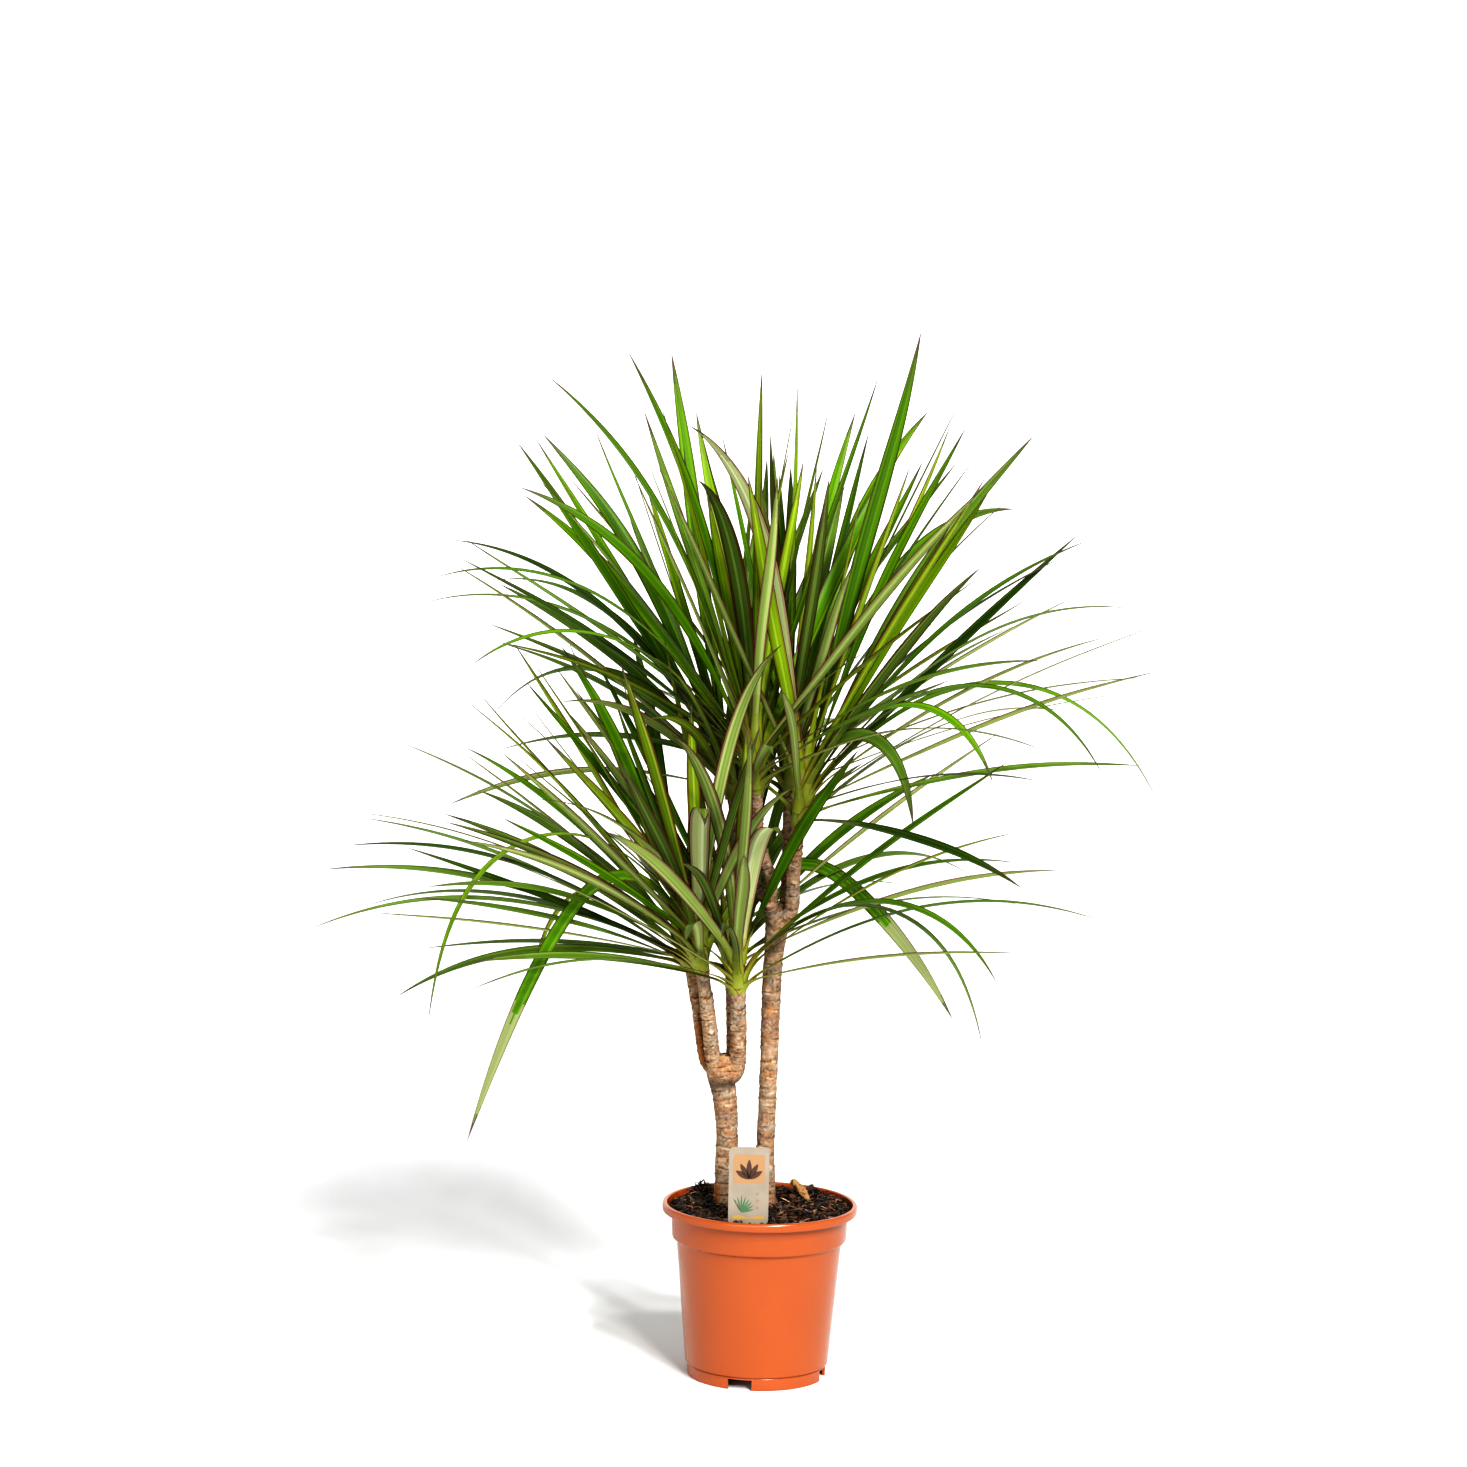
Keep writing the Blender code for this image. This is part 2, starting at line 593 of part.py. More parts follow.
class Space:
    """The room that limbs and accepted leaves take, which a new leaf has to keep out of."""

    def __init__(self):
        self.rows = []
        for name, stations in CANES.items():
            self.add_limb(name, limb_route(stations, flat_foot=True))
        for name, (_, stations) in BOUGHS.items():
            self.add_limb(name, limb_route(stations))
        for name, head in HEADS.items():
            self.add_limb(name, stem_route(head))
        self.tree = KDTree(len(self.rows))
        for index, row in enumerate(self.rows):
            self.tree.insert(row[0], index)
        self.tree.balance()
        self.blades = []

    def add_limb(self, owner, route):
        for start, end in zip(route, route[1:]):
            for share in (0.0, 0.5):
                place = start.lerp(end, share)
                self.rows.append((place.xyz, place[3], owner))

    def clear_of_limbs(self, leaf, owner):
        points = midrib(leaf)
        for index, point in enumerate(points[3:], 3):
            reach = 0.5 * leaf.width * half_width(index / MIDRIB_STEPS) + LIMB_CLEARANCE
            for _, found, away in self.tree.find_range(point, reach + THICKEST_LIMB):
                if self.rows[found][2] != owner and away < reach + self.rows[found][1]:
                    return False
        return True

    def clear_of_openings(self, leaf):
        """Whether the leaf keeps out of the gaps between the upper and the lower heads and in front of the canes."""
        return not any(low[0] < x < high[0] and low[1] < y < high[1] and low[2] < z < high[2]
                       for x, y, z in midrib(leaf) for low, high in OPENINGS)

    def clear_of_leaves(self, leaf, owner):
        """Whether the leaf misses other heads' leaves, and whether it misses its own head's blades too."""
        whole = blade_tree(leaf, LEAF_STATIONS)
        outer = blade_tree(leaf, LEAF_STATIONS[1:])
        misses_own = True
        for other_owner, other_whole, other_outer in self.blades:
            if other_owner != owner and whole.overlap(other_whole):
                return False, False
            if other_owner == owner and misses_own and outer.overlap(other_outer):
                misses_own = False
        return True, misses_own

    def accept(self, leaf, owner):
        self.blades.append((owner, blade_tree(leaf, LEAF_STATIONS), blade_tree(leaf, LEAF_STATIONS[1:])))


def leaf_root(route, share, spread, bearing):
    """A leaf's root inside the stem: near the middle for a spreading leaf, further out for an upright one."""
    place, _ = route_at(route, share)
    radius = route[min(int(share * len(route)), len(route) - 1)][3]
    out = radius * (0.55 - 0.4 * min(1.0, spread / math.radians(60.0)))
    return place + Vector((math.cos(bearing), math.sin(bearing), 0.0)) * out


def ruled_leaf(head, route, index, count, draw, attempt=0):
    """A leaf by the head's rule: round by the golden angle, and more upright the younger it is."""
    loose = 14.0 + 8.0 * attempt
    age = 1.0 - (index + 0.5) / count
    share = 0.10 + 0.84 * (1.0 - age)
    spread = math.radians(YOUNGEST_SPREAD + (OLDEST_SPREAD - YOUNGEST_SPREAD) * age)
    spread *= draw.uniform(0.86, 1.12)
    turn = math.radians(head.first_bearing + GOLDEN_ANGLE * index + draw.uniform(-loose, loose))
    _, axis = route_at(route, share)
    out = axis.cross(Vector((-math.sin(turn), math.cos(turn), 0.0))).normalized() * -1.0
    ahead = axis * math.cos(spread) + out * math.sin(spread)
    bearing = math.atan2(ahead.y, ahead.x)
    length = head.leaf_length * (1.0 - 0.42 * (1.0 - age) ** 4) * (1.0 - 0.10 * age) * draw.uniform(0.86, 1.05)
    droop = (0.06 + 0.50 * age) * draw.uniform(0.3, 1.5)
    flick = draw.uniform(0.0, 2.4)
    twist = draw.uniform(-MOST_TWIST, MOST_TWIST)
    width = LEAF_WIDTH * draw.uniform(0.78, 1.14)
    root = leaf_root(route, share, spread, bearing)
    return Leaf(root, bearing, math.asin(ahead.z), droop, length, width, None, flick, twist)


def placed_reaching(space, name, head, route, index, draw):
    """One of the head's longest leaves, from its tip; it shifts a little until it finds room."""
    x, y, z, rise, *breadth = head.reaching[index]
    share = min(0.85, 0.16 + 0.75 * max(0.0, (rise - 35.0) / 55.0))
    for attempt in range(TRIES):
        shift = 4.0 * attempt
        tip = Vector((x, y + draw.uniform(-shift, shift), z + 0.3 * draw.uniform(-shift, shift)))
        bearing = math.atan2(tip.y - route[0].y, tip.x - route[0].x)
        lifted = math.radians(rise + 0.2 * draw.uniform(-shift, shift))
        root = leaf_root(route, share, math.radians(90.0 - rise), bearing)
        width = LEAF_WIDTH * (breadth[0] if breadth else draw.uniform(0.9, 1.14))
        leaf = reaching_leaf(root, tip, lifted, width, draw.uniform(0.0, 2.0))
        twist = draw.uniform(*(UPRIGHT_TWIST if rise > UPRIGHT_RISE else SPREADING_TWIST))
        twist = math.copysign(DROOP_TWIST if leaf.knee else twist, tip.x - route[0].x)
        leaf = leaf._replace(twist=0.0 if breadth else twist)
        if space.clear_of_limbs(leaf, name) and space.clear_of_leaves(leaf, name)[0]:
            return leaf
    return None


def placed_ruled(space, name, head, route, index, count, draw):
    """A leaf by the rule that finds room, if need be across one of its own head's leaves."""
    spare = None
    for attempt in range(TRIES):
        leaf = ruled_leaf(head, route, index, count, draw, attempt)
        if not space.clear_of_limbs(leaf, name) or not space.clear_of_openings(leaf):
            continue
        misses_others, misses_own = space.clear_of_leaves(leaf, name)
        if misses_others and misses_own:
            return leaf
        if misses_others and spare is None:
            spare = leaf
    return spare


def grow_crown():
    """Every head's leaves: the reaching ones first, then the ruled ones, one for each head in turn."""
    space = Space()
    draw = random.Random(SEED)
    routes = {name: stem_route(head) for name, head in HEADS.items()}
    crown = {name: [] for name in HEADS}
    for index in range(LEAVES_PER_HEAD):
        for name, head in HEADS.items():
            ruled = index - len(head.reaching)
            if ruled < 0:
                leaf = placed_reaching(space, name, head, routes[name], index, draw)
            else:
                count = LEAVES_PER_HEAD - len(head.reaching)
                leaf = placed_ruled(space, name, head, routes[name], ruled, count, draw)
            if leaf is not None:
                space.accept(leaf, name)
                crown[name].append(leaf)
    return crown


def largest_body(mesh):
    """Keeps the mesh's largest connected body, so that sealed hollows are filled and scraps dropped."""
    work = bmesh.new()
    work.from_mesh(mesh)
    bmesh.ops.remove_doubles(work, verts=work.verts, dist=UNION_SEAM)
    unseen = set(work.verts)
    bodies = []
    while unseen:
        body = []
        waiting = [unseen.pop()]
        while waiting:
            vertex = waiting.pop()
            body.append(vertex)
            for edge in vertex.link_edges:
                other = edge.other_vert(vertex)
                if other in unseen:
                    unseen.remove(other)
                    waiting.append(other)
        bodies.append(body)
    bodies.sort(key=len)
    loose = [vertex for body in bodies[:-1] for vertex in body]
    bmesh.ops.delete(work, geom=loose, context="VERTS")
    bmesh.ops.triangulate(work, faces=work.faces)
    work.to_mesh(mesh)
    work.free()


def make_head(name, head, leaves, parts, material):
    """One head: its leaves fused onto its leafy stem by one union."""
    stem = mesh_object(name + "_stem", limb_mesh(name, stem_route(head)), parts)
    blades = make_collection(name + "_blades")
    for index, leaf in enumerate(leaves):
        work = blade_mesh(blade_rings(leaf, LEAF_STATIONS))
        mesh = bpy.data.meshes.new(f"{name}_blade_{index}")
        work.to_mesh(mesh)
        work.free()
        mesh_object(mesh.name, mesh, blades)
    add_boolean(stem, "UNION", blades, "MANIFOLD")
    mesh = evaluated_mesh(stem)
    bpy.data.objects.remove(stem)
    for blade in list(blades.objects):
        bpy.data.objects.remove(blade)
    bpy.data.collections.remove(blades)
    largest_body(mesh)
    mesh_object(name, mesh, parts, material)


def main():
    clear_scene()
    parts = make_collection("potted_dragon_tree")
    cutters = make_collection("cutters")
    plastic = make_material("orange_plastic", (0.86, 0.20, 0.045), 0.38)
    peat = make_material("peat_soil", (0.030, 0.020, 0.014), 0.95)
    card = make_material("label_plastic", (0.80, 0.76, 0.66), 0.35)
    bark = make_material("bark", (0.42, 0.29, 0.20), 0.85)
    blade = make_material("leaf_green", (0.10, 0.28, 0.035), 0.45)

    make_pot(parts, cutters, plastic)
    soil = make_soil(parts, peat)
    tools = make_collection("limb_gaps")
    make_label(parts, tools, soil, card)
    gaps = make_canes(parts, tools, soil, bark)
    make_boughs(parts, gaps, bark)
    for name, leaves in grow_crown().items():
        make_head(name, HEADS[name], leaves, parts, blade)


main()
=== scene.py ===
"""The looks of a Madagascar dragon tree in its nursery pot.

The leaves grow by the same rule as the solids' and then by more turns of it. Bark, pot, soil and label are
finer meshes that stand in the solids' places. Sizes are in millimetres until a mesh is made.
"""

import json
import math
import random
from collections import namedtuple

import bmesh
import bpy
import numpy as np
from mathutils import Matrix, Vector
from mathutils.bvhtree import BVHTree
from mathutils.kdtree import KDTree

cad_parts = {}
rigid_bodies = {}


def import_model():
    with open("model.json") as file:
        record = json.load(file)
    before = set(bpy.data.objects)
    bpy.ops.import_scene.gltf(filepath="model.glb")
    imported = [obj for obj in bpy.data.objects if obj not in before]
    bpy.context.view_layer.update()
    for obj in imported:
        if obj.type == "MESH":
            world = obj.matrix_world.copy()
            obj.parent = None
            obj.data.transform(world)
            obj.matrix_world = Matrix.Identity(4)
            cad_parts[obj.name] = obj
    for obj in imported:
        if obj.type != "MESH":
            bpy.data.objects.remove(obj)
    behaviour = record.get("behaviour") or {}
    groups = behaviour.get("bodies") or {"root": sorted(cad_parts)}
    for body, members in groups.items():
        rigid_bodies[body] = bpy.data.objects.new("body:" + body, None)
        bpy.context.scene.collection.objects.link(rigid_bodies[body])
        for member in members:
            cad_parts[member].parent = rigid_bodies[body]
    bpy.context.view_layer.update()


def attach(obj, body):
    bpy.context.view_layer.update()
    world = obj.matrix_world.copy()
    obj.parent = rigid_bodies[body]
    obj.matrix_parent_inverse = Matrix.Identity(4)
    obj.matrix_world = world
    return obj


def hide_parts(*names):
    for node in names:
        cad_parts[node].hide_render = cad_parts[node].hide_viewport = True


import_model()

MM = 0.001
GAP = 0.3
SHARP_ANGLE = 50.0

# Pot, in millimetres
POT_HEIGHT = 152.0
RIM_RADIUS = 85.0
RIM_INNER_RADIUS = 80.4
LIP_HEIGHT = 7.4
COLLAR_TOP_RADIUS = 77.0
COLLAR_FOOT_RADIUS = 75.9
COLLAR_FOOT_Z = 120.0
BODY_TOP_RADIUS = 71.6
BODY_FOOT_RADIUS = 62.2
FOOT_RADIUS = 60.2
FOOT_HEIGHT = 10.5
FOOT_RING = 2.4
WALL = 1.5
PAD_RADIUS = 30.0
PAD_SLOPE = 3.0
CHANNEL_Z = 8.0
POT_STEPS = 192
NOTCH_COUNT = 4
NOTCH_WIDTH = 21.0
NOTCH_HEIGHT = 9.0
NOTCH_FIRST_ANGLE = -104.0
DRAIN_COUNT = 8
DRAIN_RADIUS = 5.0
DRAIN_CIRCLE = 46.0
DRAIN_SIDES = 32
POT_COLOUR = "994d1b"
POT_CLOUD_COLOURS = ("964b1b", "9e511f")
POT_ROUGHNESS = (0.18, 0.30)
POT_SHARP_ANGLE = 38.0

# Potting soil
SOIL_TOP = 147.0
SOIL_MOUND = 2.2
FLAT_RADIUS = 15.0

# Plant label
LABEL_WIDTH = 34.5
LABEL_THICKNESS = 0.8
LABEL_TOP = 213.0
LABEL_SHOULDER = 149.0
LABEL_FOOT = 116.0
LABEL_STAKE_WIDTH = 12.0
LABEL_X = -10.4
LABEL_Y = -62.0
LABEL_LEAN = 6.0
LABEL_COLOUR = "867c70"
LABEL_CLOUD_COLOURS = ("7e7366", "91887b")

# Limbs: stations of x, y, z and radius from the lower end up; a cane's first station is its flat foot
CANE_FOOT = SOIL_TOP + GAP
CANES = {
    "cane_short": [(-30.6, 10, CANE_FOOT, 10.4), (-30.6, 10, 153, 9.2), (-29.8, 10, 204, 9),
                   (-32, 10, 238, 9.8), (-35, 9, 255, 11), (-36, 8, 268, 13), (-35.5, 8, 280, 8.5)],
    "cane_tall": [(4.4, 15, CANE_FOOT, 10), (4.4, 15, 153, 8.4), (3.9, 15, 204, 6.9), (5.2, 15, 275, 6.9),
                  (5.7, 15, 328, 7.4), (7.4, 15, 374, 7.7), (10.5, 15, 397, 10.4), (11.5, 15, 408, 7.5)],
}
BOUGHS = {
    "bough_low_front": [(-39, 2, 268, 6.2), (-43.5, -3, 278, 5.8), (-48.4, -6, 318, 5.4),
                        (-53.9, -10, 353, 4.9)],
    "bough_low_right": [(-32, 4, 262, 6.4), (-25, 1, 266, 6.2), (-22.4, -1, 277, 5.8), (-22.2, -5, 305, 5.6),
                        (-23.2, -10, 335, 5.5)],
    "bough_low_left": [(-41, 11, 265, 5.0), (-50.5, 13, 275, 4.7), (-57.5, 16, 314, 4.4),
                       (-64.4, 20, 350, 4.2)],
    "bough_low_back": [(-32, 14, 268, 5.2), (-27, 20, 279, 5.1), (-27.5, 24, 305, 4.9),
                       (-29.6, 30, 346, 4.7)],
    "bough_high_front": [(7, 12, 400, 5.8), (3, 8, 411, 5.4), (3.3, 5, 435, 5.0), (-8, -1, 466, 5.2),
                         (-11.9, -10, 507, 5.6)],
    "bough_high_right": [(14, 14, 399, 6.4), (21.5, 12.5, 408, 6.0), (22.2, 10, 436, 5.5),
                         (24.9, 0, 478, 5.4)],
    "bough_high_back": [(13, 18, 400, 4.6), (16, 25, 414, 4.2), (16.9, 29, 446, 4.0), (16.6, 38, 502, 3.9)],
    "bough_high_left": [(8, 19, 400, 4.4), (-2, 25, 415, 3.9), (-14, 30, 440, 3.6), (-26, 35, 465, 3.5),
                        (-32, 45, 498, 3.4)],
}
STATION_STEPS = 3

# Heads, each named after its bough: the leafy stem's length, its leaf length, the first leaf's bearing in
# degrees, and the leaves that draw the crown's outline and its front: each by its tip in millimetres, its
# rise at the root in degrees and, for a broad pale leaf, its breadth beside the others'
Head = namedtuple("Head", "stem leaf_length first_bearing reaching")
HEADS = {
    "head_low_front": Head(62, 345, 10, [
        (-390, -50, 392, 27), (-355, -100, 472, 36), (-312, -60, 555, 46), (-248, -120, 227, 58),
        (-284, -100, 323, 60), (-54, -170, 505, 70, 1.5), (-180, -50, 640, 70), (20, -130, 535, 62, 1.1),
        (6, -120, 651, 80, 1.2)]),
    "head_low_right": Head(66, 330, 75, [
        (285, -30, 412, 34), (196, -80, 363, 48), (186, -60, 306, 50), (74, -60, 558, 66),
        (9, -180, 499, 66, 1.45), (-83, -130, 575, 76, 1.2), (-194, -180, 525, 54, 0.9)]),
    "head_low_left": Head(60, 340, 140, [
        (-392, 80, 424, 26), (-354, 50, 475, 34), (-271, 120, 531, 48), (-357, 120, 386, 24),
        (-208, 160, 324, 44)]),
    "head_low_back": Head(64, 325, 205, [
        (224, 120, 438, 36), (187, 160, 418, 44), (171, 140, 291, 60)]),
    "head_high_front": Head(70, 385, 40, [
        (-128, -60, 890, 78), (-192, -100, 868, 72), (-218, -50, 773, 66), (-286, -80, 697, 58),
        (-305, 20, 666, 52), (-251, -120, 628, 55), (-15, -60, 877, 86), (-66, -140, 787, 80, 1.35)]),
    "head_high_right": Head(70, 380, 100, [
        (120, 0, 911, 76), (217, -30, 826, 66), (156, -80, 833, 70), (267, 0, 735, 58), (300, -50, 682, 55),
        (337, 20, 508, 52), (281, -60, 541, 56), (185, -120, 539, 60), (120, -100, 499, 62),
        (-74, -190, 834, 76, 1.4)]),
    "head_high_back": Head(62, 370, 170, [
        (17, 100, 861, 82), (70, 150, 835, 76), (137, 200, 835, 70), (219, 220, 747, 62)]),
    "head_high_left": Head(58, 370, 250, [
        (-206, 100, 812, 68), (-94, 100, 886, 80), (-287, 120, 715, 58), (-254, 200, 673, 56),
        (-249, 150, 555, 52)]),
}

# Leafy stem of a head: its radius, how it narrows, and how fast it turns upright
STEM_RADIUS = 7.6
STEM_TAPER = 0.25
STEM_STEPS = 6
STEM_UPTURN = 0.14
STEM_SIDES = 20
STEM_SINK = 0.6

# Leaf: its width in millimetres, its thickness as a share of its length, the stations of its blade, where it
# is widest, its width at its base, and where its tip thins and how much
LEAF_WIDTH = 12.4
LEAF_THICKNESS = 0.0105
LEAF_STATIONS = (0.0, 0.18, 0.38, 0.60, 0.82, 1.0)
MIDRIB_STEPS = 36
WIDEST = 0.58
BASE_WIDTH = 0.52
TAPER_POWER = 1.75
THIN_TIP = 0.8
THIN_TIP_SHARE = 0.75

# Twists of the blade in radians, the rise in degrees over which a reaching leaf takes an upright one, and how
# far along the blade it grows
MOST_TWIST = 0.8
DROOP_TWIST = 1.5
UPRIGHT_TWIST = (0.7, 1.4)
SPREADING_TWIST = (0.0, 0.35)
UPRIGHT_RISE = 60.0
TWIST_REACH = 0.5

# Droop: where a leaf that has to fall by more than so many degrees has its knee, how sharp that is, where the
# outer end flicks up, and the droops that are tried for a leaf with a given tip
KNEE_FALL = 75.0
KNEE_PLACE = 0.28
KNEE_LENGTH = 0.14
FLICK_START = 0.75
DROOP_RANGE = (-3.0, 9.0)
HALVINGS = 30

# Roots inside the stem: an upright leaf's place as a share of the stem's radius, and what a spread of so many
# degrees takes off it
UPRIGHT_ROOT = 0.55
SPREADING_ROOT_LOSS = 0.4
SPREADING_ROOT_ANGLE = 60.0

# Crown rule: leaves stand round a stem by the golden angle, and the oldest spread furthest from its axis
LEAVES_PER_HEAD = 28
GOLDEN_ANGLE = 137.5
OLDEST_SPREAD = 73.0
YOUNGEST_SPREAD = 7.0
LOWEST_ROOT = 0.10
ROOT_RANGE = 0.84
TURN_STRAY = 14.0
MORE_STRAY = 8.0
YOUNG_SHORTNESS = 0.42
OLD_SHORTNESS = 0.10
YOUNG_DROOP = 0.06
OLD_DROOP = 0.50

# Draws of the rule: shares of the spread, the length, the droop and the width, and the flick in radians
SPREAD_DRAW = (0.86, 1.12)
LENGTH_DRAW = (0.86, 1.05)
DROOP_DRAW = (0.3, 1.5)
WIDTH_DRAW = (0.78, 1.14)
FLICK_DRAW = (0.0, 2.4)

# The same for the reaching leaves, where their roots are by their rise, how far they shift to find room, and
# how much of that their tips' heights and their rises take
REACHING_WIDTH_DRAW = (0.9, 1.14)
REACHING_FLICK_DRAW = (0.0, 2.0)
REACHING_ROOTS = (0.16, 0.75, 0.85)
REACHING_RISES = (35.0, 55.0)
SHIFT_STEP = 4.0
HEIGHT_SHIFT = 0.3
RISE_SHIFT = 0.2

# Room: how far apart leaves and limbs stay, the gaps that ruled leaves keep out of, and how often a leaf is
# tried
CLEARANCE = 0.6
LIMB_CLEARANCE = 3.0
THICKEST_LIMB = 14.0
OPENINGS = (((-16.0, -170.0, 385.0), (36.0, -16.0, 508.0)), ((-400.0, -400.0, 500.0), (-262.0, 400.0, 665.0)),
            ((-90.0, -400.0, 150.0), (70.0, -10.0, 345.0)))
TRIES = 14
SEED = 17

Leaf = namedtuple("Leaf", "root bearing rise droop length width knee flick twist pale")


def smooth_route(stations):
    """Points and radii in millimetres on a Catmull-Rom curve through a limb's stations."""
    rows = [Vector(station) for station in stations]
    rows = [rows[0] * 2 - rows[1]] + rows + [rows[-1] * 2 - rows[-2]]
    route = []
    for index in range(1, len(rows) - 2):
        before, start, end, after = rows[index - 1:index + 3]
        for step in range(STATION_STEPS):
            t = step / STATION_STEPS
            bend = 2 * start + (end - before) * t + (2 * before - 5 * start + 4 * end - after) * t ** 2
            bend += (3 * start - before - 3 * end + after) * t ** 3
            route.append(bend * 0.5)
    route.append(rows[-2])
    return route


def cane_route(stations):
    """A cane's route, which runs straight up from its flat foot to its second station."""
    return [Vector(stations[0])] + smooth_route(stations[1:])


def limb_routes():
    """Each cane's and each bough's route."""
    return {name: cane_route(stations) if name in CANES else smooth_route(stations)
            for name, stations in {**CANES, **BOUGHS}.items()}


def stem_route(name):
    """A head's leafy stem's route: it goes on from its bough's tip and turns upright."""
    *_, before, tip = smooth_route(BOUGHS[name.replace("head", "bough")])
    ahead = (tip.xyz - before.xyz).normalized()
    place = tip.xyz + ahead * GAP
    route = [Vector((*place, tip[3]))]
    for step in range(STEM_STEPS):
        share = step / (STEM_STEPS - 1)
        place = place + ahead * HEADS[name].stem / STEM_STEPS
        route.append(Vector((*place, STEM_RADIUS * (1.0 - STEM_TAPER * share))))
        ahead = (ahead + Vector((0.0, 0.0, STEM_UPTURN))).normalized()
    return route


def bearing_ahead(bearing):
    """The level direction at a bearing."""
    return Vector((math.cos(bearing), math.sin(bearing), 0.0))


def bearing_side(bearing):
    """The level direction to the left of a bearing."""
    return Vector((-math.sin(bearing), math.cos(bearing), 0.0))


def radius_at(route, share):
    """The radius of the row that a share of the way along a route falls to."""
    return route[min(int(share * len(route)), len(route) - 1)][3]


def nearest_tree(places):
    """A tree that finds which of the places are near a point."""
    tree = KDTree(len(places))
    for index, place in enumerate(places):
        tree.insert(place, index)
    tree.balance()
    return tree


def route_at(route, share):
    """The place and direction at a share of the way along a route."""
    position = share * (len(route) - 1)
    index = min(int(position), len(route) - 2)
    start, end = route[index].xyz, route[index + 1].xyz
    return start.lerp(end, position - index), (end - start).normalized()


def bend_share(t, knee):
    """How much of a leaf's droop falls at t along it: ever more outwards, or most of it at a knee."""
    if knee is None:
        return 1.4 * t ** 0.4
    return 0.35 + 2.2 * math.exp(-((t - knee) / KNEE_LENGTH) ** 2)


def midrib(leaf):
    """Points along a leaf's midrib from its root to its tip, in millimetres."""
    points = [leaf.root.copy()]
    rise = leaf.rise
    step = leaf.length / MIDRIB_STEPS
    for index in range(MIDRIB_STEPS):
        t = (index + 0.5) / MIDRIB_STEPS
        rise -= leaf.droop * bend_share(t, leaf.knee) * math.cos(rise) / MIDRIB_STEPS
        rise += leaf.flick * max(0.0, t - FLICK_START) / MIDRIB_STEPS
        ahead = Vector((math.cos(rise) * math.cos(leaf.bearing), math.cos(rise) * math.sin(leaf.bearing),
                        math.sin(rise)))
        points.append(points[-1] + ahead * step)
    return points


def reaching_leaf(root, tip, rise, width, flick):
    """The leaf that leaves its root at a rise and ends at its tip: its droop is found by halving."""
    away = tip - root
    run = math.hypot(away.x, away.y)
    target = math.atan2(away.z, run)
    knee = KNEE_PLACE if math.degrees(rise - target) > KNEE_FALL else None
    trial = Leaf(Vector((0, 0, 0)), 0.0, rise, 0.0, 1.0, width, knee, 0.0 if knee else flick, 0.0, False)
    low, high = DROOP_RANGE
    for _ in range(HALVINGS):
        trial = trial._replace(droop=0.5 * (low + high))
        end = midrib(trial)[-1]
        if math.atan2(end.z, end.x) > target:
            low = trial.droop
        else:
            high = trial.droop
    return trial._replace(root=root, bearing=math.atan2(away.y, away.x), length=away.length / end.length)


def half_width(t):
    """A leaf's half width at t, as a share of its widest half width."""
    if t < WIDEST:
        return BASE_WIDTH + (1.0 - BASE_WIDTH) * math.sin(0.5 * math.pi * t / WIDEST)
    outer = min(1.0, (t - WIDEST) / (1.0 - WIDEST))
    return 1.0 - outer ** TAPER_POWER


def turn_at(leaf, t):
    """How far the blade has turned round its midrib at t, in radians."""
    return leaf.twist * math.sin(0.5 * math.pi * min(1.0, t / TWIST_REACH))


def blade_rings(leaf, stations, grow):
    """The grown blade's left edge, right edge and keel at each station, and its tip."""
    points = midrib(leaf)
    depth = LEAF_THICKNESS * leaf.length
    rings = []
    for t in stations:
        place, ahead = route_at(points, t)
        side = Matrix.Rotation(turn_at(leaf, t), 3, ahead) @ bearing_side(leaf.bearing)
        above = side.cross(-ahead).normalized()
        if t == 1.0:
            rings.append([place + ahead * grow])
            break
        half = 0.5 * leaf.width * half_width(t) + grow
        keel = depth * (1.0 if t < THIN_TIP else THIN_TIP_SHARE) + grow
        rings.append([place - side * half + above * grow, place + side * half + above * grow,
                      place - above * keel])
    return rings


def blade_mesh(rings):
    """A closed three-edged blade lofted through its rings to its tip."""
    work = bmesh.new()
    levels = [[work.verts.new(corner * MM) for corner in ring] for ring in rings]
    for lower, upper in zip(levels, levels[1:]):
        for index in range(3):
            following = (index + 1) % 3
            if len(upper) == 1:
                work.faces.new((lower[index], lower[following], upper[0]))
            else:
                work.faces.new((lower[index], lower[following], upper[following], upper[index]))
    work.faces.new(reversed(levels[0]))
    bmesh.ops.triangulate(work, faces=work.faces)
    bmesh.ops.recalc_face_normals(work, faces=work.faces)
    return work


def blade_trees(leaf):
    """Trees of a leaf's whole blade and of its blade beyond the stem, with the clearance round them."""
    trees = []
    for stations in (LEAF_STATIONS, LEAF_STATIONS[1:]):
        work = blade_mesh(blade_rings(leaf, stations, CLEARANCE))
        trees.append(BVHTree.FromBMesh(work))
        work.free()
    return trees


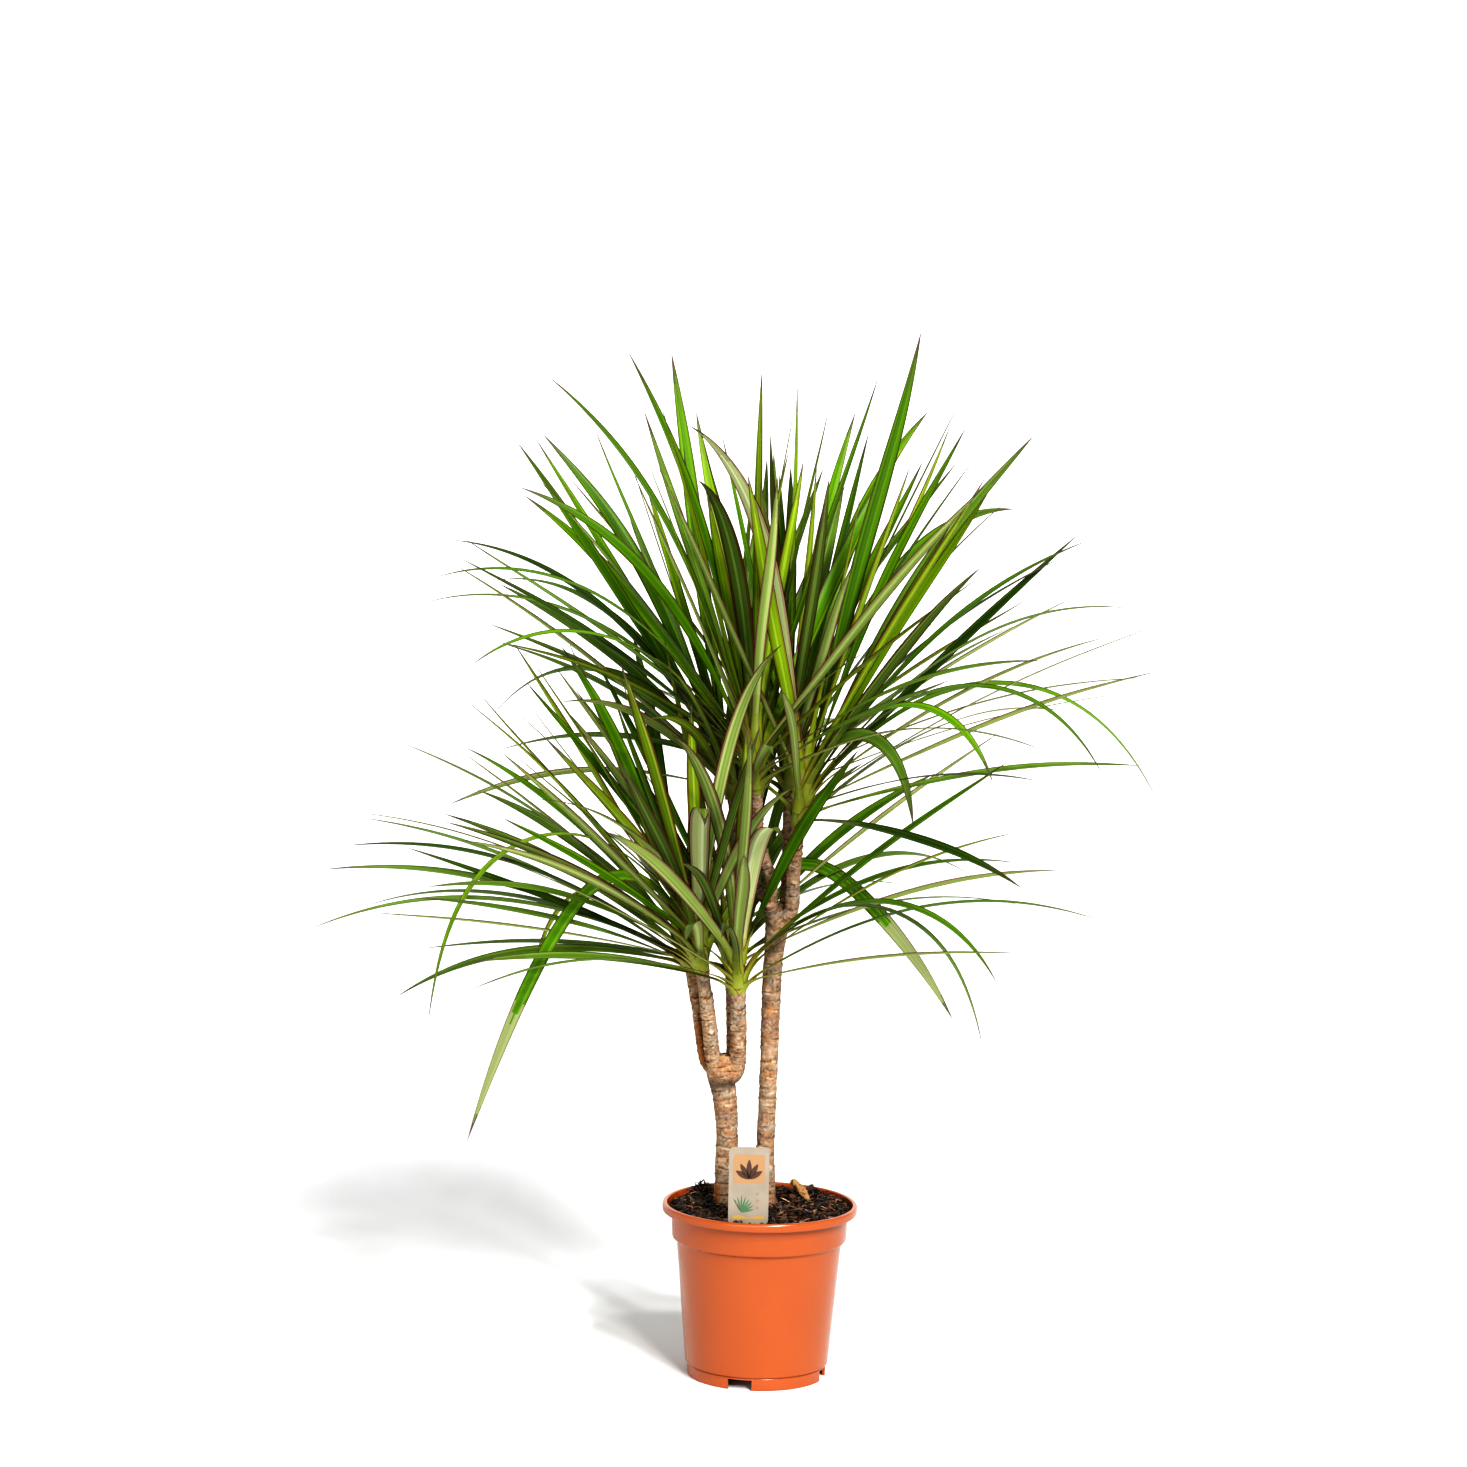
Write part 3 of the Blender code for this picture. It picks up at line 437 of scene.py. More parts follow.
class Space:
    """The room that limbs and accepted leaves take, which a new leaf has to keep out of."""

    def __init__(self):
        self.stems = {name: stem_route(name) for name in HEADS}
        self.rows = []
        for owner, route in {**limb_routes(), **self.stems}.items():
            for start, end in zip(route, route[1:]):
                for share in (0.0, 0.5):
                    place = start.lerp(end, share)
                    self.rows.append((place.xyz, place[3], owner))
        self.tree = nearest_tree([row[0] for row in self.rows])
        self.blades = []
        self.leaves = {name: [] for name in HEADS}

    def clear_of_limbs(self, leaf, owner):
        points = midrib(leaf)
        for index, point in enumerate(points[3:], 3):
            reach = 0.5 * leaf.width * half_width(index / MIDRIB_STEPS) + LIMB_CLEARANCE
            for _, found, away in self.tree.find_range(point, reach + THICKEST_LIMB):
                if self.rows[found][2] != owner and away < reach + self.rows[found][1]:
                    return False
        return True

    def clear_of_openings(self, leaf):
        """Whether the leaf keeps out of the gaps between the heads and in front of the canes."""
        return not any(low[0] < x < high[0] and low[1] < y < high[1] and low[2] < z < high[2]
                       for x, y, z in midrib(leaf) for low, high in OPENINGS)

    def clear_of_leaves(self, leaf, owner):
        """Whether the leaf misses other heads' leaves, and whether it misses its own head's blades too."""
        whole, outer = blade_trees(leaf)
        misses_own = True
        for other_owner, other_whole, other_outer in self.blades:
            if other_owner != owner and whole.overlap(other_whole):
                return False, False
            if other_owner == owner and misses_own and outer.overlap(other_outer):
                misses_own = False
        return True, misses_own

    def accept(self, leaf, owner):
        """Takes in a head's new leaf, if one has found room."""
        if leaf is not None:
            self.leaves[owner].append(leaf)
            self.blades.append((owner, *blade_trees(leaf)))


def leaf_root(route, share, spread, bearing):
    """A leaf's root inside the stem: near the middle for a spreading leaf, further out for an upright one."""
    place, _ = route_at(route, share)
    spreading = min(1.0, spread / math.radians(SPREADING_ROOT_ANGLE))
    out = radius_at(route, share) * (UPRIGHT_ROOT - SPREADING_ROOT_LOSS * spreading)
    return place + bearing_ahead(bearing) * out


def ruled_leaf(head, route, index, count, draw, attempt):
    """A leaf by the head's rule: round by the golden angle, and more upright the younger it is."""
    stray = TURN_STRAY + MORE_STRAY * attempt
    age = 1.0 - (index + 0.5) / count
    share = LOWEST_ROOT + ROOT_RANGE * (1.0 - age)
    spread = math.radians(YOUNGEST_SPREAD + (OLDEST_SPREAD - YOUNGEST_SPREAD) * age)
    spread *= draw.uniform(*SPREAD_DRAW)
    turn = math.radians(head.first_bearing + GOLDEN_ANGLE * index + draw.uniform(-stray, stray))
    _, axis = route_at(route, share)
    out = axis.cross(bearing_side(turn)).normalized() * -1.0
    ahead = axis * math.cos(spread) + out * math.sin(spread)
    bearing = math.atan2(ahead.y, ahead.x)
    length = head.leaf_length * (1.0 - YOUNG_SHORTNESS * (1.0 - age) ** 4) * (1.0 - OLD_SHORTNESS * age)
    length *= draw.uniform(*LENGTH_DRAW)
    droop = (YOUNG_DROOP + OLD_DROOP * age) * draw.uniform(*DROOP_DRAW)
    flick = draw.uniform(*FLICK_DRAW)
    twist = draw.uniform(-MOST_TWIST, MOST_TWIST)
    width = LEAF_WIDTH * draw.uniform(*WIDTH_DRAW)
    root = leaf_root(route, share, spread, bearing)
    return Leaf(root, bearing, math.asin(ahead.z), droop, length, width, None, flick, twist, False)


def placed_reaching(space, name, index, draw):
    """One of the head's longest leaves, from its tip; it shifts a little until it finds room."""
    route = space.stems[name]
    x, y, z, rise, *breadth = HEADS[name].reaching[index]
    lowest, root_range, highest = REACHING_ROOTS
    level, rise_range = REACHING_RISES
    share = min(highest, lowest + root_range * max(0.0, (rise - level) / rise_range))
    for attempt in range(TRIES):
        shift = SHIFT_STEP * attempt
        tip = Vector((x, y + draw.uniform(-shift, shift), z + HEIGHT_SHIFT * draw.uniform(-shift, shift)))
        bearing = math.atan2(tip.y - route[0].y, tip.x - route[0].x)
        lifted = math.radians(rise + RISE_SHIFT * draw.uniform(-shift, shift))
        root = leaf_root(route, share, math.radians(90.0 - rise), bearing)
        width = LEAF_WIDTH * (breadth[0] if breadth else draw.uniform(*REACHING_WIDTH_DRAW))
        leaf = reaching_leaf(root, tip, lifted, width, draw.uniform(*REACHING_FLICK_DRAW))
        twist = draw.uniform(*(UPRIGHT_TWIST if rise > UPRIGHT_RISE else SPREADING_TWIST))
        twist = math.copysign(DROOP_TWIST if leaf.knee else twist, tip.x - route[0].x)
        leaf = leaf._replace(twist=0.0 if breadth else twist, pale=bool(breadth))
        if space.clear_of_limbs(leaf, name) and space.clear_of_leaves(leaf, name)[0]:
            return leaf
    return None


def placed_ruled(space, name, head, index, count, draw):
    """A leaf by the rule that finds room, if need be across one of its own head's leaves."""
    spare = None
    for attempt in range(TRIES):
        leaf = ruled_leaf(head, space.stems[name], index, count, draw, attempt)
        if not space.clear_of_limbs(leaf, name) or not space.clear_of_openings(leaf):
            continue
        misses_others, misses_own = space.clear_of_leaves(leaf, name)
        if misses_others and misses_own:
            return leaf
        if misses_others and spare is None:
            spare = leaf
    return spare


def grow_crown(space, draw):
    """Every head's leaves: the reaching ones first, then the ruled ones, one for each head in turn."""
    for index in range(LEAVES_PER_HEAD):
        for name, head in HEADS.items():
            reaching = len(head.reaching)
            if index < reaching:
                space.accept(placed_reaching(space, name, index, draw), name)
            else:
                leaf = placed_ruled(space, name, head, index - reaching, LEAVES_PER_HEAD - reaching, draw)
                space.accept(leaf, name)


def linear(code):
    """A colour written as six hex digits, in linear light."""
    channels = [int(code[start:start + 2], 16) / 255.0 for start in (0, 2, 4)]
    return tuple(c / 12.92 if c <= 0.04045 else ((c + 0.055) / 1.055) ** 2.4 for c in channels)


def mixed(first, second, share):
    return tuple(a + (b - a) * share for a, b in zip(first, second))


def plain_material(name, colour, roughness=0.5, specular=0.5):
    material = bpy.data.materials.new(name)
    material.use_nodes = True
    shader = material.node_tree.nodes["Principled BSDF"]
    shader.inputs["Base Color"].default_value = (*colour, 1.0)
    shader.inputs["Roughness"].default_value = roughness
    shader.inputs["Specular IOR Level"].default_value = specular
    return material


def linked(name, data):
    """A new object in the scene."""
    made = bpy.data.objects.new(name, data)
    bpy.context.scene.collection.objects.link(made)
    return made


def piece(name, mesh, slot, *nodes):
    """An object of the part: it rides on the one body and stands for the named CAD nodes."""
    made = linked(name, mesh)
    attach(made, "root")
    if nodes:
        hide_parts(*nodes)


def noise_factor(material, scale, detail):
    """Noise that stands still on the object, as an output that other nodes take."""
    nodes, links = material.node_tree.nodes, material.node_tree.links
    noise = nodes.new("ShaderNodeTexNoise")
    noise.inputs["Scale"].default_value = scale
    noise.inputs["Detail"].default_value = detail
    links.new(nodes.new("ShaderNodeTexCoord").outputs["Object"], noise.inputs["Vector"])
    return noise.outputs["Fac"]


def add_node(material, kind, source, into, out_of, target, **values):
    """A node that takes a source into one of its inputs and feeds the shader's target from an output."""
    nodes, links = material.node_tree.nodes, material.node_tree.links
    node = nodes.new(kind)
    for name, value in values.items():
        node.inputs[name].default_value = value
    links.new(source, node.inputs[into])
    links.new(node.outputs[out_of], nodes["Principled BSDF"].inputs[target])
    return node


def add_bump(material, scale, detail, strength, distance):
    """A fine grain, as a bump of so many metres."""
    add_node(material, "ShaderNodeBump", noise_factor(material, scale, detail), "Height", "Normal", "Normal",
             Strength=strength, Distance=distance)


def add_blend(material, source, codes):
    """A base colour that goes from one to the other of two colours with the source."""
    first, second = [(*linear(code), 1.0) for code in codes]
    add_node(material, "ShaderNodeMixRGB", source, "Fac", "Color", "Base Color", Color1=first, Color2=second)


def evaluated_mesh(source):
    depsgraph = bpy.context.evaluated_depsgraph_get()
    depsgraph.update()
    return bpy.data.meshes.new_from_object(source.evaluated_get(depsgraph), depsgraph=depsgraph)


class Build:
    """Gathers points and faces, each face with its material's number, for one joined mesh."""

    def __init__(self):
        self.points = []
        self.faces = []
        self.slots = []
        self.count = 0

    def add(self, points, faces, slots):
        points = np.array([tuple(point) for point in points], float)
        base = self.count
        self.points.append(points)
        self.count += len(points)
        self.faces.extend([tuple(corner + base for corner in face) for face in faces])
        if isinstance(slots, int):
            slots = [slots] * len(faces)
        self.slots.extend(slots)

    def mesh(self, name, materials, sharp_angle=SHARP_ANGLE):
        mesh = bpy.data.meshes.new(name)
        mesh.from_pydata((np.concatenate(self.points) * MM).tolist(), [], self.faces)
        for material in materials:
            mesh.materials.append(material)
        mesh.polygons.foreach_set("material_index", self.slots)
        mesh.shade_smooth()
        mesh.set_sharp_from_angle(angle=math.radians(sharp_angle))
        mesh.update()
        return mesh

    def piece(self, name, materials, slot, *nodes, sharp_angle=SHARP_ANGLE):
        piece(name, self.mesh(name, materials, sharp_angle), slot, *nodes)


def circle(radius, z, around):
    """Points on a level circle round the axis."""
    turns = [math.tau * step / around for step in range(around)]
    return [(radius * math.cos(turn), radius * math.sin(turn), z) for turn in turns]


def ring_quads(first, rings, around):
    """Quads that join rings of points, laid one after another from the first point's number on."""
    quads = []
    for start in range(first, first + (rings - 1) * around, around):
        for step in range(around):
            following = (step + 1) % around
            quads.append((start + step, start + following, start + around + following, start + around + step))
    return quads


def ring_faces(rings, around):
    """Quads that join rings of points from the first on, with a cap at each end."""
    caps = [tuple(reversed(range(around))), tuple(range((rings - 1) * around, rings * around))]
    return ring_quads(0, rings, around) + caps


def turned_faces(rings, around):
    """The faces of a turned body: a first point on its axis, rings of points and a last point on the axis."""
    last_ring = 1 + (rings - 1) * around
    faces = ring_quads(1, rings, around)
    for step in range(around):
        following = (step + 1) % around
        faces.append((0, 1 + following, 1 + step))
        faces.append((last_ring + around, last_ring + step, last_ring + following))
    return faces


# Leaf colours: each tone's upper face and under face, at the edge, the side, the middle and a pale streak
TONES = {
    "lime": ("607f04", "739104", "688504", "7b960f", "75751e", "79921e", "85a026", "94ab34"),
    "bright": ("4d6a04", "5f8703", "537a03", "688c0d", "705d22", "788f1b", "839c24", "95ad35"),
    "mid": ("3c5704", "4d7204", "436404", "577812", "68571f", "6c8120", "788d2b", "8c9f3e"),
    "deep": ("273c0a", "324e0c", "2b440c", "3f5816", "4b4022", "4e6228", "5b6f30", "6f7e41"),
    "grey": ("51662a", "627c30", "58732b", "718a3c", "7e6b50", "849554", "90a15c", "a5b174"),
    "silver": ("647631", "78893e", "697e31", "8a9a54", "a08c73", "b2bb89", "c0c992", "d5dcb2"),
    "fading": ("416004", "50770a", "476b08", "5d7f1d", "655b38", "6c7c35", "7a893f", "8f995a"),
}
LEAF_ZONES = ("top_edge", "top_side", "top_mid", "top_light",
              "under_edge", "under_side", "under_mid", "under_light")
STRAW_COLOUR = "98907a"
STEM_COLOUR = "7e8a3a"

# Parts of a leaf that are alike in every tone, by colour, roughness and specular; the last of it before the
# tip, by the zone its colour comes from, roughness and specular; and the roughness and specular of the rest
LEAF_PARTS = {"base_top": ("888e2e", 0.42, 0.35), "base_under": ("858c35", 0.42, 0.35),
              "tip": ("54403e", 0.6, 0.2),
              "margin": ("4c1e18", 0.5, 0.25), "margin_base": ("74502c", 0.5, 0.25)}
LATE_PARTS = {"late_top": ("top_edge", 0.5, 0.2), "late_under": ("under_side", 0.55, 0.15)}
LEAF_FINISHES = {"top": (0.42, 0.14), "under": (0.55, 0.08)}

# Along a leaf: the levels of its colour, how much of the base's colour is in the first three and of the tip's
# or of straw's in the last, where the base, those four levels and the late part end, and how that varies
LEVELS = ("neck", "low", "main", "far")
BASE_SHARES = (0.62, 0.26, 0.0)
TIP_SHARE = 0.25
STRAW_SHARE = 0.5
LATE_SHARE = 0.6
LEVEL_ENDS = (0.045, 0.10, 0.22, 0.84, 0.93, 0.965)
DROOPING_LEVEL_ENDS = (0.045, 0.10, 0.22, 0.64, 0.93, 0.965)
NEAR_END_DRAW = (0.8, 1.25)
FAR_END_DRAW = (0.8, 1.3)

# A leaf's tone: the height below which a leaf is low, how far its tone strays from what its rise asks for,
# where the three brightest tones begin, how many of the rest are deep green, and how broad a silver leaf is
LOW_CROWN = 560.0
TONE_STRAY = 0.32
LIME_ABOVE = 0.97
BRIGHT_ABOVE = 0.71
MID_ABOVE = 0.55
DEEP_SHARE = 0.22
SILVER_BREADTH = 1.3

# Section of a leaf: its corners from edge to edge over the upper face, then back under it, as shares of the
# half width; how far from the midrib the strips between them lie, their zones, and which may turn to a streak
TOP_US = (1.0, 0.91, 0.76, 0.56, 0.34, 0.12, -0.12, -0.34, -0.56, -0.76, -0.91, -1.0)
UNDER_US = (-0.90, -0.68, -0.40, -0.13, 0.13, 0.40, 0.68, 0.90)
SECTION_US = TOP_US + UNDER_US
STRIP_REACHES = [abs(0.5 * (u + after)) for u, after in zip(SECTION_US, SECTION_US[1:] + SECTION_US[:1])]
STRIP_ZONES = ("margin", "top_edge", "top_side", "top_side", "top_mid", "top_mid", "top_mid", "top_side",
               "top_side", "top_edge", "margin", "margin", "under_edge", "under_side", "under_side",
               "under_mid", "under_side", "under_side", "under_edge", "margin")
TOP_STREAKS = (2, 3, 4, 6, 7, 8)
UNDER_STREAKS = (13, 14, 15, 16, 17)

# Finer blades: where their feet clasp the stem, their steps, their slimness, thickness and thread-like tips
FOOT_DROP = 9.0
FOOT_HALF_WIDTH = 7.4
CLASP_LENGTH = 30.0
CLASP_STEPS = 6
BLADE_STEPS = 32
BLADE_CROWDING = 0.3
TIP_FORK = 0.06
SPREADING_WIDTH = 0.8
HIGH_DROOP_WIDTH = 0.62
SPREADING_RISES = (25.0, 55.0)
FOOT_THICKNESS = 1.0
BLADE_THICKNESS = 0.42
MARGIN_THICKNESS = 0.14
TIP_THINNING = 0.6
CLASP_WRAP = 0.98
BLADE_WRAP = 0.42
MIDDLE_WRAP_LOSS = 0.16
THREAD_SHARE = 0.075
SWAY_SHARES = (0.002, 0.008)
STRIP_JITTER = 0.01
LOWER_JITTER_GAIN = 14.0

# Leaves beyond the solids': how many a head, their length beside the others' and their turn from the first
EXTRA_LEAVES = {"head_low_right": 4, "head_low_front": 4, "head_low_left": 1, "head_low_back": 1,
                "head_high_front": 6, "head_high_right": 6, "head_high_back": 5, "head_high_left": 5}
EXTRA_LENGTH = 0.9
EXTRA_TURN = 61.0


class LeafPalette:
    """The leaves' materials, numbered by what each face shows."""

    def __init__(self):
        self.materials = []
        self.number = {}
        for name, (code, *finish) in LEAF_PARTS.items():
            self.put(name, linear(code), finish)
        tip = linear(LEAF_PARTS["tip"][0])
        for name, (zone, *finish) in LATE_PARTS.items():
            late = linear(TONES["mid"][LEAF_ZONES.index(zone)])
            self.put(name, mixed(late, tip, LATE_SHARE), finish)
        for tone, codes in TONES.items():
            end, end_share = (linear(STRAW_COLOUR), STRAW_SHARE) if tone == "fading" else (tip, TIP_SHARE)
            for zone, code in zip(LEAF_ZONES, codes):
                face = zone.split("_")[0]
                base, main = linear(LEAF_PARTS["base_" + face][0]), linear(code)
                colours = [mixed(main, base, share) for share in BASE_SHARES] + [mixed(main, end, end_share)]
                for level, colour in zip(LEVELS, colours):
                    self.put((tone, zone, level), colour, LEAF_FINISHES[face])

    def put(self, key, colour, finish):
        """Makes the material that a key stands for."""
        name = "leaf_" + (key if isinstance(key, str) else "_".join(key))
        self.number[key] = len(self.materials)
        self.materials.append(plain_material(name, colour, *finish))

    def strip(self, zone, tone, t, ends):
        """The number of the material of a strip of a leaf at t along it."""
        base, neck, low, main, far, late = ends
        face = zone.split("_")[0]
        if t > late:
            return self.number["tip"]
        if zone == "margin":
            return self.number["margin_base" if t < neck else "margin"]
        if t > far:
            return self.number["late_" + face]
        if t < base:
            return self.number["base_" + face]
        level = "neck" if t < neck else "low" if t < low else "main" if t < main else "far"
        return self.number[(tone, zone, level)]


def grow_more(space, draw):
    """More leaves by the same rule, set between the first ones and a little shorter."""
    for index in range(max(EXTRA_LEAVES.values())):
        for name, head in HEADS.items():
            if index < EXTRA_LEAVES[name]:
                nearer = head._replace(leaf_length=EXTRA_LENGTH * head.leaf_length,
                                       first_bearing=head.first_bearing + EXTRA_TURN)
                space.accept(placed_ruled(space, name, nearer, index, EXTRA_LEAVES[name], draw), name)


def stem_share(route, place):
    """How far along a leafy stem a place lies."""
    count = 8 * len(route)
    return min(range(count), key=lambda step: (route_at(route, step / count)[0] - place).length) / count


def leaf_line(leaf, route):
    """Rows of place and share along a leaf from its clasping foot to its tip, and the clasp's share."""
    points = midrib(leaf)
    stem = sum((b.xyz - a.xyz).length for a, b in zip(route, route[1:]))
    share = max(0.01, stem_share(route, leaf.root) - FOOT_DROP / stem)
    centre, axis = route_at(route, share)
    out = bearing_ahead(leaf.bearing)
    out = (out - axis * out.dot(axis)).normalized()
    foot = centre + out * radius_at(route, share)
    clasp = min(0.3, CLASP_LENGTH / leaf.length)
    free, ahead = route_at(points, clasp)
    pull = (free - foot).length
    rows = []
    for step in range(CLASP_STEPS):
        u = step / CLASP_STEPS
        place = (foot * (1 - u) ** 2 * (1 + 2 * u) + axis * pull * u * (1 - u) ** 2
                 + free * u ** 2 * (3 - 2 * u) - ahead * pull * u ** 2 * (1 - u))
        rows.append((place, clasp * u))
    for step in range(BLADE_STEPS + 1):
        share = step / BLADE_STEPS
        t = clasp + (1.0 - clasp) * (share + BLADE_CROWDING * share * (1.0 - share))
        rows.append((route_at(points, t)[0], t))
    return rows, clasp


def section_row(leaf, t, clasp):
    """The half width, the half angle that the section wraps, the thickness and the grip on the stem at t."""
    grip = max(0.0, 1.0 - t / clasp)
    width = leaf.width * slimness(leaf)
    half = 0.5 * width * fine_half_width(t)
    half += (FOOT_HALF_WIDTH - 0.5 * width * BASE_WIDTH) * grip ** 1.5
    hold = grip ** 1.2
    open_wrap = BLADE_WRAP - MIDDLE_WRAP_LOSS * math.sin(math.pi * min(1.0, t))
    wrap = CLASP_WRAP * hold + (1.0 - hold) * open_wrap
    thick = BLADE_THICKNESS + (FOOT_THICKNESS - BLADE_THICKNESS) * grip
    return half, wrap, thick * (1.0 - TIP_THINNING * t), grip


def slimness(leaf):
    """Old spreading leaves, other than pale and low drooping ones, are slimmer."""
    if leaf.knee and leaf.root.z > LOW_CROWN:
        return HIGH_DROOP_WIDTH
    if leaf.pale or leaf.knee:
        return 1.0
    low, high = SPREADING_RISES
    upright = min(1.0, max(0.0, (math.degrees(leaf.rise) - low) / (high - low)))
    return SPREADING_WIDTH + (1.0 - SPREADING_WIDTH) * upright


def fine_half_width(t):
    """A real leaf's half width: as the rule's, drawn out to a thread at the tip."""
    if t < WIDEST:
        return half_width(t)
    outer = min(1.0, (t - WIDEST) / (1.0 - WIDEST))
    return THREAD_SHARE * (1.0 - outer ** 8) + (1.0 - THREAD_SHARE) * half_width(t)


def leaf_points(leaf, rows, clasp, draw):
    """The corners of a leaf's sections, from its foot to its tip."""
    places = [row[0] for row in rows]
    wave = draw.uniform(0.0, math.tau)
    sway = leaf.length * draw.uniform(*SWAY_SHARES)
    points = []
    for index, (place, t) in enumerate(rows):
        before = places[max(0, index - 1)]
        after = places[min(len(places) - 1, index + 1)]
        ahead = (after - before).normalized()
        side = Matrix.Rotation(turn_at(leaf, t), 3, ahead) @ bearing_side(leaf.bearing)
        side = (side - ahead * side.dot(ahead)).normalized()
        above = side.cross(-ahead).normalized()
        half, wrap, thick, grip = section_row(leaf, t, clasp)
        bend = half / wrap
        sag = bend * (1.0 - math.cos(wrap)) * (1.0 - grip)
        centre = place + side * (sway * math.sin(wave + 5.0 * t) * t * (1.0 - t) * 4.0)
        margin = MARGIN_THICKNESS * (1.0 - TIP_THINNING * t)
        depths = [0.0] * len(TOP_US) + [margin + thick * (1.0 - u * u) for u in UNDER_US]
        for u, depth in zip(SECTION_US, depths):
            across = (bend + depth) * math.sin(u * wrap)
            lift = bend - (bend + depth) * math.cos(u * wrap) - sag
            points.append(centre + side * across + above * lift)
    return points


def leaf_slots(palette, leaf, rows, tone, draw):
    """The number of the material of each of a leaf's faces, ring by ring, and then of its two caps."""
    ends = []
    for end in DROOPING_LEVEL_ENDS if leaf.knee else LEVEL_ENDS:
        if end < 0.5:
            ends.append(end * draw.uniform(*NEAR_END_DRAW))
        else:
            ends.append(1.0 - (1.0 - end) * draw.uniform(*FAR_END_DRAW))
    zones = streaked_zones(draw)
    jitter = [draw.uniform(-STRIP_JITTER, STRIP_JITTER) for _ in zones]
    slots = []
    for row, following in zip(rows, rows[1:]):
        t = 0.5 * (row[1] + following[1])
        for zone, stray, reach in zip(zones, jitter, STRIP_REACHES):
            if t < 0.5:
                shifted = t * (1.0 + stray * LOWER_JITTER_GAIN)
            else:
                shifted = t + stray + TIP_FORK * (reach - 0.5)
            slots.append(palette.strip(zone, tone, shifted, ends))
    return slots + [palette.number["base_under"], palette.number["tip"]]


def streaked_zones(draw):
    """The strips' zones on one leaf, some turned to pale streaks and others to the edge's colour."""
    zones = list(STRIP_ZONES)
    for _ in range(draw.choice((1, 1, 2))):
        zones[draw.choice(TOP_STREAKS)] = "top_light"
    if draw.random() < 0.5:
        zones[draw.choice(TOP_STREAKS)] = "top_edge"
    for _ in range(draw.choice((1, 2))):
        zones[draw.choice(UNDER_STREAKS)] = "under_light"
    return zones


def leaf_tone(leaf, draw):
    """Young upright leaves are brighter and old ones deeper or greyer; low drooping ones fade outwards."""
    upright = math.degrees(leaf.rise) / 90.0
    pick = upright + draw.uniform(-TONE_STRAY, TONE_STRAY)
    is_low = leaf.root.z < LOW_CROWN
    if leaf.pale and not is_low:
        return "deep"
    if leaf.pale:
        return "silver" if leaf.width > SILVER_BREADTH * LEAF_WIDTH else "grey"
    if leaf.knee:
        return "fading" if is_low else "grey"
    if pick > LIME_ABOVE:
        return "lime"
    if pick > BRIGHT_ABOVE:
        return "bright"
    if pick > MID_ABOVE:
        return "mid"
    return "deep" if draw.random() < DEEP_SHARE else "grey"


def make_leaves():
    """Each head's leaves, and all the leafy stems."""
    palette = LeafPalette()
    space = Space()
    grow_crown(space, random.Random(SEED))
    draw = random.Random(SEED + 1)
    grow_more(space, draw)
    stems = Build()
    for name, route in space.stems.items():
        build = Build()
        for leaf in space.leaves[name]:
            tone = leaf_tone(leaf, draw)
            rows, clasp = leaf_line(leaf, route)
            points = leaf_points(leaf, rows, clasp, draw)
            slots = leaf_slots(palette, leaf, rows, tone, draw)
            build.add(points, ring_faces(len(rows), len(SECTION_US)), slots)
        build.piece(name.replace("head", "leaves"), palette.materials, "leaf_green", name)
        add_tube(stems, [row.xyz for row in route], [row[3] - STEM_SINK for row in route], STEM_SIDES, 0)
    stems.piece("leafy_stems", [plain_material("stem_green", linear(STEM_COLOUR))], "leaf_green")


def add_tube(build, places, radii, sides, slot):
    """A closed round tube along places, turned as little as possible from one to the next."""
    points = []
    across = Vector((1.0, 0.0, 0.0))
    for index, place in enumerate(places):
        ahead = (places[min(index + 1, len(places) - 1)] - places[max(index - 1, 0)]).normalized()
        across = (across - ahead * across.dot(ahead)).normalized()
        other = ahead.cross(across)
        for step in range(sides):
            turn = math.tau * step / sides
            points.append(place + (across * math.cos(turn) + other * math.sin(turn)) * radii[index])
    build.add(points, ring_faces(len(places), sides), slot)


# Noise: how far apart its seeds lie, and the numbers that mix up a cell's place
SEED_STEP = 31.7
CELL_FACTORS = (73856093, 19349663, 83492791)
MIX_FACTOR = 1274126177


def soft_noise(points, scale, seed):
    """Smooth noise from -1 to 1 at rows of points, its bumps about a scale apart."""
    spots = np.asarray(points, float) / scale + SEED_STEP * seed
    cells = np.floor(spots).astype(np.int64)
    shares = spots - cells
    shares = shares * shares * (3.0 - 2.0 * shares)
    total = np.zeros(len(spots))
    for corner in range(8):
        offset = np.array([corner & 1, corner >> 1 & 1, corner >> 2 & 1])
        weight = np.prod(np.where(offset, shares, 1.0 - shares), axis=1)
        mixed_up = np.bitwise_xor.reduce((cells + offset) * CELL_FACTORS, axis=1)
        mixed_up = (mixed_up ^ (mixed_up >> 13)) * MIX_FACTOR
        total += weight * ((mixed_up ^ (mixed_up >> 16)) & 0xFFFF) / 0xFFFF
    return 2.0 * total - 1.0


# Bark: mesh pitch, how far the limbs run on and how much fuller than the solids they are, ring scars with
# their ridges and grooves, relief in millimetres, and how finely it is made
BARK_VOXEL = 0.75
BARK_SINK = 3.0
BARK_RUN_ON = 9.0
RUN_ON_TAPER = 0.9
BARK_SWELL = {"cane_tall": 0.9, "bough_low_right": 1.5, "bough_low_front": 0.8}
USUAL_SWELL = 0.5
RING_SPACING = {"cane": 8.6, "bough": 5.2}
RING_RIDGE = 0.42
RIDGE_PHASE = 0.32
RIDGE_BREADTH = 0.16
GROOVE_PHASE = 0.52
GROOVE_BREADTH = 0.09
GROOVE_SHARE = 0.9
BARK_LUMPS = 0.45
BARK_KNOTS = 0.30
BARK_GRAIN = 0.20
TUBE_SIDES = 28
CALLUS_LEVEL = 3
SKIN_SMOOTHING = 4

